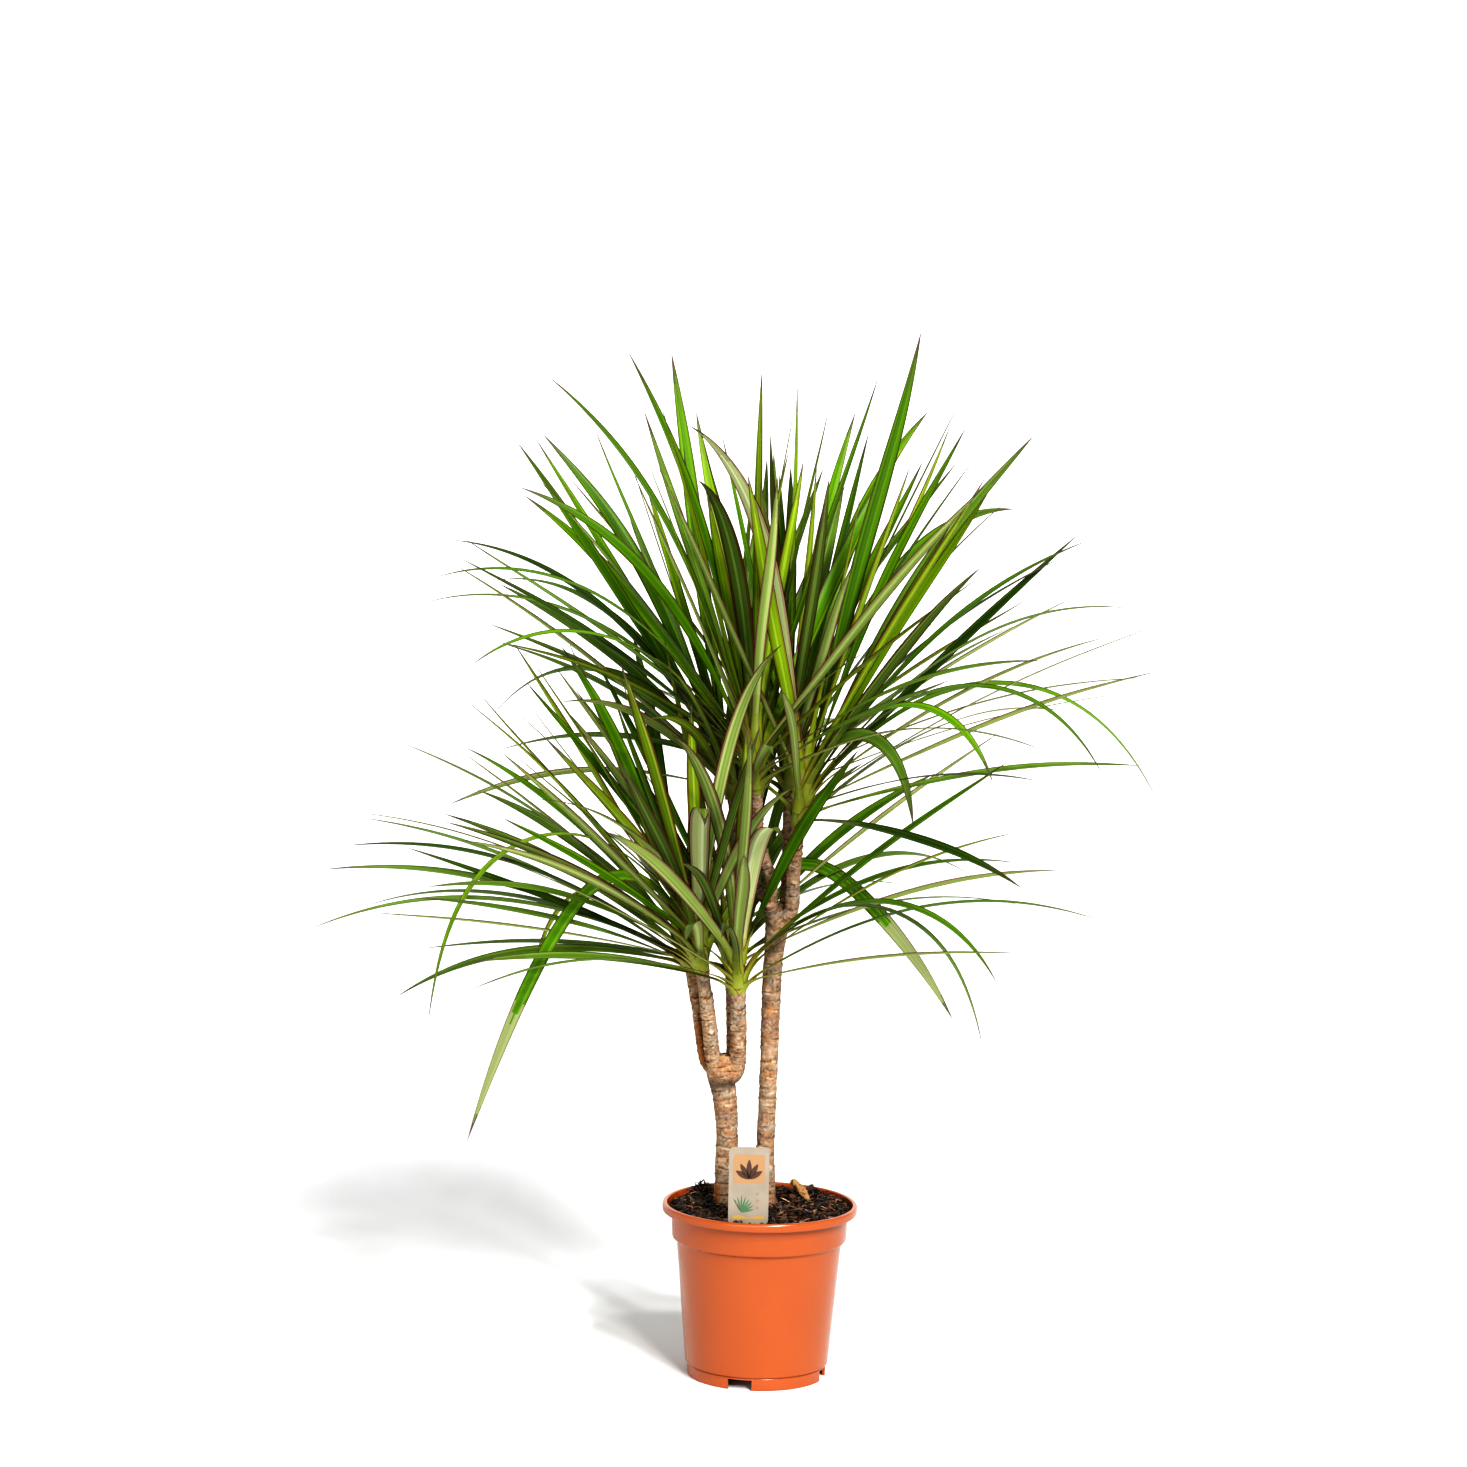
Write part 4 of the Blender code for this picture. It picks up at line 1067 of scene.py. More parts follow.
# Bark colours, and the patches of them laid one over another: how strongly their noise counts, the share
# added to it, the noise's breadth and seed, and its stretch where it follows the limb round and along; then
# the rusty callus, the dark band at the short cane's fork, and how far scars, band and strips show; last, how
# strongly the relief is painted into the colour as shade in its hollows and highlight on its bumps, and the
# reach of relief that this takes in
BARK_COLOURS = {"tan": "977f67", "pink": "8b6c55", "grey": "847a6e", "dark": "644d37", "rust": "a57649",
                "pale": "b1a28c", "scar": "573f2d", "callus": "a47039", "band": "635344", "torn": "8c5c34"}
BARK_PATCHES = (("pink", 1.2, 0.45, 9.0, 11, None), ("grey", 1.1, 0.11, 10.0, 12, None),
                ("rust", 1.5, -0.42, 5.0, 13, (1, 1, 2.2)), ("pale", 1.4, -0.224, 3.4, 15, (0.7, 0.7, 1.6)),
                ("dark", 1.3, -0.13, 2.1, 14, None), ("pale", 1.2, -0.36, 1.4, 17, None),
                ("dark", 0.9, -0.225, 1.1, 18, None))
CALLUS_PLACE = (-34.0, 2.0, 268.0)
CALLUS_SPREAD = (12.0, 11.0, 10.0)
BAND_Z = 254.5
BAND_BREADTH = 2.8
BAND_RIGHT_END = -15.0
SCAR_SHARE = 0.8
BAND_SHARE = 0.9
TORN_SHARE = 0.85
RELIEF_PAINTED_SHADE = 0.28
RELIEF_REACH = 1.2

# Bark pieces: each one's cane and the level of its boughs, its callused lumps by place and radius, and its
# torn strips of bark by start, middle, end and breadth
BARK_PIECES = {"bark_low": ("cane_short", "bough_low"), "bark_high": ("cane_tall", "bough_high")}
CALLUSES = {"bark_low": ((-34.0, -1.5, 267.0, 10.8), (-27.5, 0.0, 264.0, 7.6), (-41.0, 2.0, 265.0, 8.2),
                         (-34.5, 0.0, 275.0, 7.4), (-31.0, 12.0, 266.0, 9.5)),
            "bark_high": ((10.0, 12.0, 397.0, 9.6), (17.0, 9.0, 401.0, 6.6), (3.5, 7.0, 411.0, 6.4))}
TORN_STRIPS = {"bark_low": (((-50.0, 7.5, 266.0), (-55.5, 8.5, 288.0), (-58.0, 10.5, 316.0), 2.2),
                            ((-37.5, 2.5, 148.0), (-37.0, 1.6, 158.0), (-38.6, 2.2, 168.0), 1.7)),
               "bark_high": ()}
STRIP_STEPS = 10
STRIP_SIDES = 10
LIMB_GIRTH = 6.0


def bark_routes():
    """Each limb's route, a cane's sunk a little into the soil and a bough's run on into its head."""
    routes = limb_routes()
    for name, route in routes.items():
        if name in CANES:
            route.insert(0, route[0] - Vector((0.0, 0.0, BARK_SINK, 0.0)))
        else:
            ahead = (route[-1].xyz - route[-2].xyz).normalized()
            end = route[-1].xyz + ahead * BARK_RUN_ON
            route.append(Vector((*end, RUN_ON_TAPER * route[-1][3])))
        swell = Vector((0.0, 0.0, 0.0, BARK_SWELL.get(name, USUAL_SWELL)))
        routes[name] = [row + swell for row in route]
    return routes


def ball(level, radius=1.0):
    """The points and faces of a ball of triangles."""
    work = bmesh.new()
    bmesh.ops.create_icosphere(work, subdivisions=level, radius=radius)
    points = [vertex.co.copy() for vertex in work.verts]
    faces = [tuple(vertex.index for vertex in face.verts) for face in work.faces]
    work.free()
    return points, faces


def strip_rows(strip):
    """Places and radii along a torn strip of bark, which stands a little off its limb."""
    start, middle, end, breadth = strip
    places, radii = [], []
    for step in range(STRIP_STEPS + 1):
        t = step / STRIP_STEPS
        places.append(Vector(start) * (1 - t) ** 2 + Vector(middle) * 2 * t * (1 - t) + Vector(end) * t ** 2)
        radii.append(max(0.5, breadth * math.sin(math.pi * (0.12 + 0.8 * t)) ** 0.7))
    return places, radii


def remeshed(mesh, voxel, smoothing):
    """The mesh's outer skin as one even body, its creases smoothed."""
    holder = linked("remesh_holder", mesh)
    remesh = holder.modifiers.new("Remesh", "REMESH")
    remesh.mode = "VOXEL"
    remesh.voxel_size = voxel * MM
    smooth = holder.modifiers.new("Smooth", "SMOOTH")
    smooth.factor = 0.5
    smooth.iterations = smoothing
    made = evaluated_mesh(holder)
    bpy.data.objects.remove(holder)
    return made


def mesh_arrays(mesh):
    """A mesh's points in millimetres and its normals, as rows."""
    arrays = []
    for name in ("co", "normal"):
        values = np.zeros(len(mesh.vertices) * 3)
        mesh.vertices.foreach_get(name, values)
        arrays.append(values.reshape(-1, 3))
    return arrays[0] / MM, arrays[1]


def limb_places(routes, points):
    """Each point's way along its nearest limb, its turn round it, and whether that limb is a cane."""
    rows = []
    for name, route in routes.items():
        travelled = 0.0
        for start, end in zip(route, route[1:]):
            length = (end.xyz - start.xyz).length
            steps = max(1, round(length))
            for step in range(steps):
                share = step / steps
                place = start.lerp(end, share)
                rows.append((place.xyz, travelled + share * length, name.startswith("cane")))
            travelled += length
    tree = nearest_tree([row[0] for row in rows])
    found = np.array([tree.find(point)[1] for point in points])
    centres, along, on_cane = [np.array(column)[found] for column in zip(*rows)]
    turns = np.arctan2(points[:, 1] - centres[:, 1], points[:, 0] - centres[:, 0])
    return along, turns, on_cane


def bark_relief(points, round_limb, along, turns, on_cane):
    """Heights of the bark over the limbs, and how strongly a ring scar shows, in millimetres and shares."""
    shifted = along + 2.6 * soft_noise(round_limb * (0, 0, 1), 11.0, 2) + 1.7 * soft_noise(round_limb, 8.0, 1)
    shifted += 1.3 * np.cos(turns + 0.21 * along) + 0.5 * soft_noise(round_limb, 2.6, 7)
    spacing = np.where(on_cane, RING_SPACING["cane"], RING_SPACING["bough"])
    phase = shifted / spacing - np.floor(shifted / spacing)
    ridge = np.exp(-((phase - RIDGE_PHASE) / RIDGE_BREADTH) ** 2)
    groove = np.exp(-((phase - GROOVE_PHASE) / GROOVE_BREADTH) ** 2)
    strength = np.clip(0.55 + 1.3 * soft_noise(round_limb, 6.5, 3), 0.0, 1.5)
    relief = RING_RIDGE * strength * (ridge - GROOVE_SHARE * groove)
    relief += BARK_LUMPS * soft_noise(points, 8.0, 4) + BARK_KNOTS * soft_noise(points, 3.4, 6)
    relief += BARK_GRAIN * soft_noise(points * (1, 1, 0.7), 1.5, 5)
    return relief, groove * strength


def blend_rows(colours, name, shares):
    """Rows of colours, each with its share of the named colour of bark mixed in."""
    shares = np.clip(shares, 0.0, 1.0)[:, None]
    return colours * (1.0 - shares) + np.array(linear(BARK_COLOURS[name])) * shares


def strip_shares(points, strips):
    """How near each point is to a torn strip: 1 on it, 0 away from it."""
    near = np.zeros(len(points))
    for strip in strips:
        for place, radius in zip(*strip_rows(strip)):
            away = np.linalg.norm(points - np.array(place), axis=1)
            near = np.maximum(near, np.clip(2.3 - away / radius, 0.0, 1.0))
    return near


def bark_tints_and_painted_shade(points, round_limb, scar, relief, strips):
    """Each bark point's colour: patches of tan, grey, pink and rust, dark scars and pale flecks; then painted
    shade in the relief's hollows and painted highlight on its bumps.
    """
    colours = np.tile(np.array(linear(BARK_COLOURS["tan"])), (len(points), 1))
    for name, strength, least, breadth, seed, stretch in BARK_PATCHES:
        field = round_limb * stretch if stretch else points
        colours = blend_rows(colours, name, strength * soft_noise(field, breadth, seed) + least)
    colours = blend_rows(colours, "scar", SCAR_SHARE * scar)
    callus = np.linalg.norm((points - np.array(CALLUS_PLACE)) / CALLUS_SPREAD, axis=1)
    patch = np.clip(2.0 - 1.5 * callus, 0.0, 1.0) * (0.85 + 0.5 * soft_noise(points, 2.6, 16))
    colours = blend_rows(colours, "callus", patch)
    band = np.exp(-((points[:, 2] - BAND_Z) / BAND_BREADTH) ** 2) * (points[:, 0] < BAND_RIGHT_END)
    colours = blend_rows(colours, "band", BAND_SHARE * band)
    colours = blend_rows(colours, "torn", TORN_SHARE * strip_shares(points, strips))
    # Painted shade and highlight: the colour darkens where the relief sinks and lightens where it rises
    return colours * (1.0 + RELIEF_PAINTED_SHADE * np.clip(relief, -RELIEF_REACH, RELIEF_REACH))[:, None]


def bark_material():
    material = plain_material("bark_skin", linear(BARK_COLOURS["tan"]), 0.85, 0.25)
    nodes, links = material.node_tree.nodes, material.node_tree.links
    # The attribute holds the bark's colours with the painted shade and highlight of its relief
    tint = nodes.new("ShaderNodeAttribute")
    tint.attribute_name = "bark_tint"
    links.new(tint.outputs["Color"], nodes["Principled BSDF"].inputs["Base Color"])
    add_bump(material, 900.0, 4.0, 0.5, 0.0006)
    return material


def make_bark():
    """The bark of each cane with its boughs, one mesh a cane."""
    routes = bark_routes()
    material = bark_material()
    for name, (cane, boughs) in BARK_PIECES.items():
        joined = {limb: route for limb, route in routes.items() if limb == cane or limb.startswith(boughs)}
        build = Build()
        for route in joined.values():
            add_tube(build, [row.xyz for row in route], [row[3] for row in route], TUBE_SIDES, 0)
        for *place, radius in CALLUSES[name]:
            points, faces = ball(CALLUS_LEVEL, radius)
            build.add([point + Vector(place) for point in points], faces, 0)
        for strip in TORN_STRIPS[name]:
            add_tube(build, *strip_rows(strip), STRIP_SIDES, 0)
        mesh = remeshed(build.mesh(name, []), BARK_VOXEL, SKIN_SMOOTHING)
        points, normals = mesh_arrays(mesh)
        along, turns, on_cane = limb_places(joined, points)
        round_limb = np.stack([np.cos(turns) * LIMB_GIRTH, np.sin(turns) * LIMB_GIRTH, along], axis=1)
        relief, scar = bark_relief(points, round_limb, along, turns, on_cane)
        # The bark's colours, with painted shade in the relief's hollows and painted highlight on its bumps
        tints = bark_tints_and_painted_shade(points, round_limb, scar, relief, TORN_STRIPS[name])
        points = points + normals * relief[:, None]
        mesh.vertices.foreach_set("co", (points * MM).ravel())
        attribute = mesh.color_attributes.new("bark_tint", "FLOAT_COLOR", "POINT")
        attribute.data.foreach_set("color", np.column_stack([tints, np.ones(len(tints))]).ravel())
        mesh.materials.clear()
        mesh.materials.append(material)
        mesh.shade_smooth()
        mesh.update()
        mesh.name = name
        piece(name, mesh, "bark", *joined)


def rounded(corners, steps=5):
    """An outline through corners of x, y and cut, each rounded by a curve that starts and ends a cut away."""
    made = []
    for index, (x, y, cut) in enumerate(corners):
        corner = Vector((x, y))
        if cut == 0.0 or index in (0, len(corners) - 1):
            made.append((x, y))
            continue
        before = (Vector(corners[index - 1][:2]) - corner).normalized() * cut
        after = (Vector(corners[index + 1][:2]) - corner).normalized() * cut
        for step in range(steps + 1):
            t = step / steps
            made.append(tuple(corner + before * (1 - t) ** 2 + after * t ** 2))
    return made


def pot_profile():
    """The pot's section: from its floor's middle up the inner face, over the rim and down to its foot."""
    lip_foot = POT_HEIGHT - LIP_HEIGHT
    floor = CHANNEL_Z + WALL
    corners = [
        (0.0, WALL, 0.0),
        (PAD_RADIUS - 0.8, WALL, 1.0),
        (PAD_RADIUS + 2.0, floor, 1.0),
        (FOOT_RADIUS - WALL, floor, 1.0),
        (BODY_FOOT_RADIUS - WALL, FOOT_HEIGHT + 2.0, 0.5),
        (BODY_TOP_RADIUS - WALL, COLLAR_FOOT_Z - 0.4, 0.8),
        (COLLAR_FOOT_RADIUS - WALL, COLLAR_FOOT_Z + 2.6, 0.8),
        (COLLAR_TOP_RADIUS - WALL, lip_foot + 1.0, 0.5),
        (RIM_INNER_RADIUS, lip_foot + 1.6, 0.6),
        (RIM_INNER_RADIUS + 0.4, POT_HEIGHT, 1.3),
        (RIM_RADIUS + 0.1, POT_HEIGHT, 2.7),
        (RIM_RADIUS - 0.4, lip_foot, 0.9),
        (COLLAR_TOP_RADIUS, lip_foot, 1.4),
        (COLLAR_FOOT_RADIUS, COLLAR_FOOT_Z + 1.6, 1.2),
        (BODY_TOP_RADIUS + 0.2, COLLAR_FOOT_Z - 1.0, 1.3),
        (BODY_FOOT_RADIUS, FOOT_HEIGHT + 1.3, 0.5),
        (FOOT_RADIUS - 0.5, FOOT_HEIGHT + 0.4, 0.3),
        (FOOT_RADIUS + 0.1, FOOT_HEIGHT - 0.5, 0.3),
        (FOOT_RADIUS, 0.0, 0.7),
        (FOOT_RADIUS - FOOT_RING, 0.0, 0.5),
        (FOOT_RADIUS - FOOT_RING, CHANNEL_Z, 0.8),
        (PAD_RADIUS + PAD_SLOPE, CHANNEL_Z, 1.0),
        (PAD_RADIUS, 0.0, 1.0),
        (0.0, 0.0, 0.0),
    ]
    return rounded(corners)


def turned_mesh(name, profile, steps):
    """A solid of revolution; its profile runs up its inner face and down its outer one, axis to axis."""
    rings = [circle(radius, z, steps) for radius, z in profile[1:-1]]
    points = np.concatenate([[(0.0, 0.0, profile[0][1])], *rings, [(0.0, 0.0, profile[-1][1])]])
    mesh = bpy.data.meshes.new(name)
    mesh.from_pydata((points * MM).tolist(), [], turned_faces(len(rings), steps))
    work = bmesh.new()
    work.from_mesh(mesh)
    bmesh.ops.recalc_face_normals(work, faces=work.faces)
    work.to_mesh(mesh)
    work.free()
    return mesh


def pot_material():
    material = plain_material("pot_plastic", linear(POT_COLOUR), 0.24, 0.7)
    cloud = noise_factor(material, 22.0, 5.0)
    add_blend(material, cloud, POT_CLOUD_COLOURS)
    gloss = add_node(material, "ShaderNodeMapRange", cloud, "Value", "Result", "Roughness")
    gloss.inputs["To Min"].default_value, gloss.inputs["To Max"].default_value = POT_ROUGHNESS
    add_bump(material, 420.0, 3.0, 0.10, 0.0004)
    return material


def make_pot():
    """The pot, turned finely, with its foot's notches and its drain holes cut."""
    pot = linked("pot_shell_turned", turned_mesh("pot_shell", pot_profile(), POT_STEPS))
    cutters = bpy.data.collections.new("pot_cutters")
    bpy.context.scene.collection.children.link(cutters)
    reach = (FOOT_RADIUS - 0.5 * FOOT_RING) * MM
    for index in range(NOTCH_COUNT):
        turn = math.radians(NOTCH_FIRST_ANGLE + index * 360.0 / NOTCH_COUNT)
        bpy.ops.mesh.primitive_cube_add(size=1.0)
        cutter = bpy.context.object
        cutter.scale = (5.0 * FOOT_RING * MM, NOTCH_WIDTH * MM, 2.0 * NOTCH_HEIGHT * MM)
        cutter.location = (reach * math.cos(turn), reach * math.sin(turn), 0.0)
        cutter.rotation_euler = (0.0, 0.0, turn)
        cutters.objects.link(cutter)
    reach = DRAIN_CIRCLE * MM
    for index in range(DRAIN_COUNT):
        turn = math.tau * (index + 0.5) / DRAIN_COUNT
        bpy.ops.mesh.primitive_cylinder_add(vertices=DRAIN_SIDES, radius=DRAIN_RADIUS * MM,
                                            depth=4 * WALL * MM)
        cutter = bpy.context.object
        cutter.location = (reach * math.cos(turn), reach * math.sin(turn), (CHANNEL_Z + 0.5 * WALL) * MM)
        cutters.objects.link(cutter)
    cut = pot.modifiers.new("Openings", "BOOLEAN")
    cut.operation = "DIFFERENCE"
    cut.operand_type = "COLLECTION"
    cut.collection = cutters
    made = evaluated_mesh(pot)
    for used in [pot, *cutters.objects]:
        bpy.data.objects.remove(used)
    bpy.data.collections.remove(cutters)
    made.materials.clear()
    made.materials.append(pot_material())
    made.shade_smooth()
    made.set_sharp_from_angle(angle=math.radians(POT_SHARP_ANGLE))
    made.name = "pot_shell"
    piece("pot_shell", made, "orange_plastic", "pot")


def soil_height(x, y):
    """The solid's lumpy soil surface, level at the pot's wall and round each cane's foot and the label."""
    lumps = math.sin(0.11 * x + 1.3) * math.cos(0.13 * y) + 0.6 * math.sin(0.23 * x - 0.19 * y + 0.5)
    edge = RIM_INNER_RADIUS - math.hypot(x, y)
    level = min(1.0, max(0.0, edge / FLAT_RADIUS))
    for foot in (CANES["cane_short"][0], CANES["cane_tall"][0], (LABEL_X, LABEL_Y)):
        away = math.hypot(x - foot[0], y - foot[1])
        level = min(level, max(0.0, (away - FLAT_RADIUS) / FLAT_RADIUS))
    return SOIL_TOP + SOIL_MOUND * level * lumps


# Soil: the bed's rings, how near the wall its lumps and mounds end, its lumps by height, breadth and seed,
# its skirt's rings, its mounds by x, y, height and breadth, and what lies on it
BED_RADIUS = 79.7
BED_RINGS = 80
BED_STEPS = 260
BED_EDGE = 6.0
MOUND_EDGE = 7.0
BED_LUMPS = ((1.6, 8.0, 21), (1.3, 3.6, 22), (0.7, 1.7, 23))
BED_SKIRT = ((BED_RADIUS, POT_HEIGHT - LIP_HEIGHT + 1.9), (75.1, POT_HEIGHT - LIP_HEIGHT + 1.3),
             (73.4, 127.0))
MOUNDS = ((-53, 52, 7.5, 11), (29, 36, 6.5, 9), (62, 22, 5.0, 9), (-20, 62, 4.5, 10), (8, 62, 4.0, 9),
          (-62, 8, 4.5, 9), (42, -30, 3.0, 8), (-36, -36, 3.0, 9), (47, 50, 4.5, 9), (-58, -22, 3.0, 9))
CRUMB_COUNT = 2200
CLOD_COUNT = 480
STRAND_COUNT = 1500
FIBRE_COUNT = 150
CHIP_COUNT = 30
SOIL_SEED = 23
LUMP_SHAPES = 12
LUMP_RADII = (0.62, 1.15)
LUMP_TILT = 0.7
CRUMB_SIZES = (0.5, 1.2)
CLOD_SIZES = (1.5, 2.6)
CRUMB_STRETCHES = ((0.9, 1.5), (0.6, 1.0), (0.6, 1.0))
CRUMB_LIFT = (-0.6, 0.8)
STRAND_STEPS = 6
STRAND_SIDES = 5
STRAND_BEND = 0.55
STRAND_BEND_CHANGE = 0.25
STRAND_FALL = (0.02, 0.26)
CHIP_ROUTE = ((26.0, 36.5, 163.0, 1.8), (30.0, 35.0, 162.0, 2.9), (34.0, 32.5, 159.0, 3.5),
              (38.0, 29.5, 154.5, 3.6), (41.5, 26.0, 149.5, 3.2), (43.0, 24.0, 146.0, 2.0))
SMALL_CHIP_ROUTE = ((43.5, -27.0, 147.5, 1.4), (46.0, -25.0, 150.0, 2.6), (48.5, -22.0, 150.5, 1.6))
BAR_KNOBS = ((1.5, 2.6), (0.5, 1.1))
BAR_PATCHES = 2.4
BAR_PATCH_ABOVE = -0.3
SPRIG_PLACE = (-56.0, 55.0, 153.0)
SPRIG_TWIGS = 9
LONG_FIBRES = (((18.5, 18.0, 152.0), (22.0, 14.0, 151.6), (26.0, 10.0, 150.4)),
               ((48.0, 0.0, 151.0), (53.0, -6.0, 151.2), (58.0, -12.0, 150.4)))
CRUMB_SHADES = (0, 0, 0, 0, 1, 1, 1, 2, 2, 3)
STRAND_SHADES = (0, 0, 1, 1, 2, 3)
CHIP_SHADES = (0, 1, 1, 2, 2)
SOIL_COLOURS = ("1b130e", "2b1d15", "443022", "6a4b36")
SOIL_RAMP = ((0.38, SOIL_COLOURS[0]), (0.66, SOIL_COLOURS[2]))
STRAND_COLOURS = ("1c140f", "33231a", "543b2a", "7e5c43")
FIBRE_COLOURS = ("8a6a48", "b7936a", "d8bd98")
CHIP_COLOURS = ("9a7a54", "6e5038", "46301f")


def bed_height(x, y):
    """The fine soil's surface: the solid's with mounds, all level with it at the pot's wall."""
    edge = min(1.0, max(0.0, (BED_RADIUS - math.hypot(x, y)) / MOUND_EDGE))
    mounds = 0.0
    for mound_x, mound_y, height, width in MOUNDS:
        mounds += height * math.exp(-((x - mound_x) ** 2 + (y - mound_y) ** 2) / width ** 2)
    return soil_height(x, y) + edge * mounds


def make_soil_bed():
    """The fine soil: its lumpy top, and a skirt that closes it inside the pot."""
    rings = [circle(BED_RADIUS * ring / BED_RINGS, 0.0, BED_STEPS) for ring in range(1, BED_RINGS + 1)]
    top = np.concatenate([[(0.0, 0.0, 0.0)], *rings])
    edge = np.clip((BED_RADIUS - np.linalg.norm(top[:, :2], axis=1)) / BED_EDGE, 0.0, 1.0)
    lumps = sum(height * soft_noise(top, scale, seed) for height, scale, seed in BED_LUMPS)
    top[:, 2] = [bed_height(x, y) for x, y, _ in top]
    top[:, 2] += lumps * edge
    skirt = [circle(radius, z, BED_STEPS) for radius, z in BED_SKIRT]
    points = np.concatenate([top, *skirt, [(0.0, 0.0, BED_SKIRT[-1][1])]])
    faces = turned_faces(BED_RINGS + len(BED_SKIRT), BED_STEPS)
    build = Build()
    facing_up = [(face[0], *reversed(face[1:])) for face in faces]
    build.add(points, facing_up, 0)
    build.piece("soil_bed", [soil_material()], "peat_soil", "soil", sharp_angle=180.0)


def soil_material():
    material = plain_material("soil_peat", linear(SOIL_COLOURS[1]), 0.95, 0.15)
    ramp = add_node(material, "ShaderNodeValToRGB", noise_factor(material, 260.0, 6.0), "Fac", "Color",
                    "Base Color").color_ramp
    for element, (position, code) in zip(ramp.elements, SOIL_RAMP):
        element.position = position
        element.color = (*linear(code), 1.0)
    return material


def lump_shape(draw, level):
    """The points and faces of a small uneven lump, about one unit in radius."""
    points, faces = ball(level)
    return [point * draw.uniform(*LUMP_RADII) for point in points], faces


def soil_spot(draw, reach):
    """A place on the soil's surface, and none where a cane's foot or the label stands."""
    while True:
        radius = reach * math.sqrt(draw.random())
        turn = draw.uniform(0.0, math.tau)
        x, y = radius * math.cos(turn), radius * math.sin(turn)
        clear = all(math.hypot(x - row[0][0], y - row[0][1]) > row[0][3] + 1.0 for row in CANES.values())
        if clear and not (abs(x - LABEL_X) < 0.5 * LABEL_WIDTH + 1.0 and abs(y - LABEL_Y) < 2.5):
            return x, y, bed_height(x, y)


def turned_rows(draw, points, sizes, place):
    """Points scaled by sizes, turned at random and set at a place."""
    spin = Matrix.Rotation(draw.uniform(0, math.tau), 3, "Z")
    for axis in "XY":
        spin = spin @ Matrix.Rotation(draw.uniform(-LUMP_TILT, LUMP_TILT), 3, axis)
    return [spin @ Vector([value * size for value, size in zip(point, sizes)]) + Vector(place)
            for point in points]


def add_strand(build, draw, start, length, thick, climb, slot):
    """A strand that wanders over the soil from its start, and stays inside the pot."""
    heading, bend = draw.uniform(0, math.tau), draw.uniform(-STRAND_BEND, STRAND_BEND)
    place = Vector(start)
    places = [place]
    for _ in range(STRAND_STEPS):
        heading += bend
        bend += draw.uniform(-STRAND_BEND_CHANGE, STRAND_BEND_CHANGE)
        climb -= draw.uniform(*STRAND_FALL)
        place = place + Vector((math.cos(heading), math.sin(heading), climb)) * length / STRAND_STEPS
        over_label = abs(place.x - LABEL_X) < 0.5 * LABEL_WIDTH and place.y < LABEL_Y + 3.0
        if math.hypot(place.x, place.y) > BED_RADIUS - 0.8 - thick or over_label:
            break
        places.append(place)
    if len(places) > 2:
        radii = [thick * (0.6 + 0.4 * math.sin(math.pi * i / (len(places) - 1))) for i in range(len(places))]
        add_tube(build, places, radii, STRAND_SIDES, slot)


def add_bar(build, route, seed, slots):
    """A knobbly bar of bark along rows of x, y, z and radius, its faces dealt out among slots."""
    rows = smooth_route(smooth_route(route))
    part = Build()
    add_tube(part, [row.xyz for row in rows], [row[3] for row in rows], 20, 0)
    points = np.concatenate(part.points)
    centre = points.mean(axis=0)
    away = (points - centre) / np.linalg.norm(points - centre, axis=1)[:, None]
    knobs = sum(height * soft_noise(points, breadth, seed) for height, breadth in BAR_KNOBS)
    points = points + away * knobs[:, None]
    patches = soft_noise(points, BAR_PATCHES, seed + 1) > BAR_PATCH_ABOVE
    build.add(points, part.faces, [slots[0] if patches[face[0]] else slots[1] for face in part.faces])


def shades(kind, codes, roughness, specular):
    """A plain material for each of a kind's colours."""
    return [plain_material(f"{kind}_{index}", linear(code), roughness, specular)
            for index, code in enumerate(codes)]


def make_crumbs(draw, small, large):
    """Crumbs and larger clods."""
    crumbs = Build()
    for index in range(CRUMB_COUNT + CLOD_COUNT):
        is_clod = index < CLOD_COUNT
        least, spread = CLOD_SIZES if is_clod else CRUMB_SIZES
        size = least + spread * draw.random() ** 2.0
        x, y, z = soil_spot(draw, BED_RADIUS - 1.0 - 1.3 * size)
        points, faces = draw.choice(large if is_clod else small)
        sizes = [size * draw.uniform(*ends) for ends in CRUMB_STRETCHES]
        lift = draw.uniform(*CRUMB_LIFT) + 0.3 * size
        crumbs.add(turned_rows(draw, points, sizes, (x, y, z + lift)), faces, draw.choice(CRUMB_SHADES))
    crumbs.piece("soil_crumbs", shades("crumb", SOIL_COLOURS, 0.55, 0.45), "peat_soil", sharp_angle=32.0)


def make_strands(draw):
    """Dark strands all over the soil, and a sprig of them that stands up."""
    strands = Build()
    for _ in range(STRAND_COUNT):
        x, y, z = soil_spot(draw, BED_RADIUS - 3.0)
        start = (x, y, z + draw.uniform(0.2, 2.2))
        add_strand(strands, draw, start, draw.uniform(4.0, 12.0), 0.25 + 0.65 * draw.random() ** 2,
                   draw.uniform(0.0, 0.9), draw.choice(STRAND_SHADES))
    for _ in range(SPRIG_TWIGS):
        start = [value + draw.uniform(-2.5, 2.5) for value in SPRIG_PLACE]
        add_strand(strands, draw, start, draw.uniform(5.0, 8.0), draw.uniform(0.3, 0.6),
                   draw.uniform(0.8, 2.0), 0)
    strands.piece("soil_strands", shades("strand", STRAND_COLOURS, 0.5, 0.45), "peat_soil")


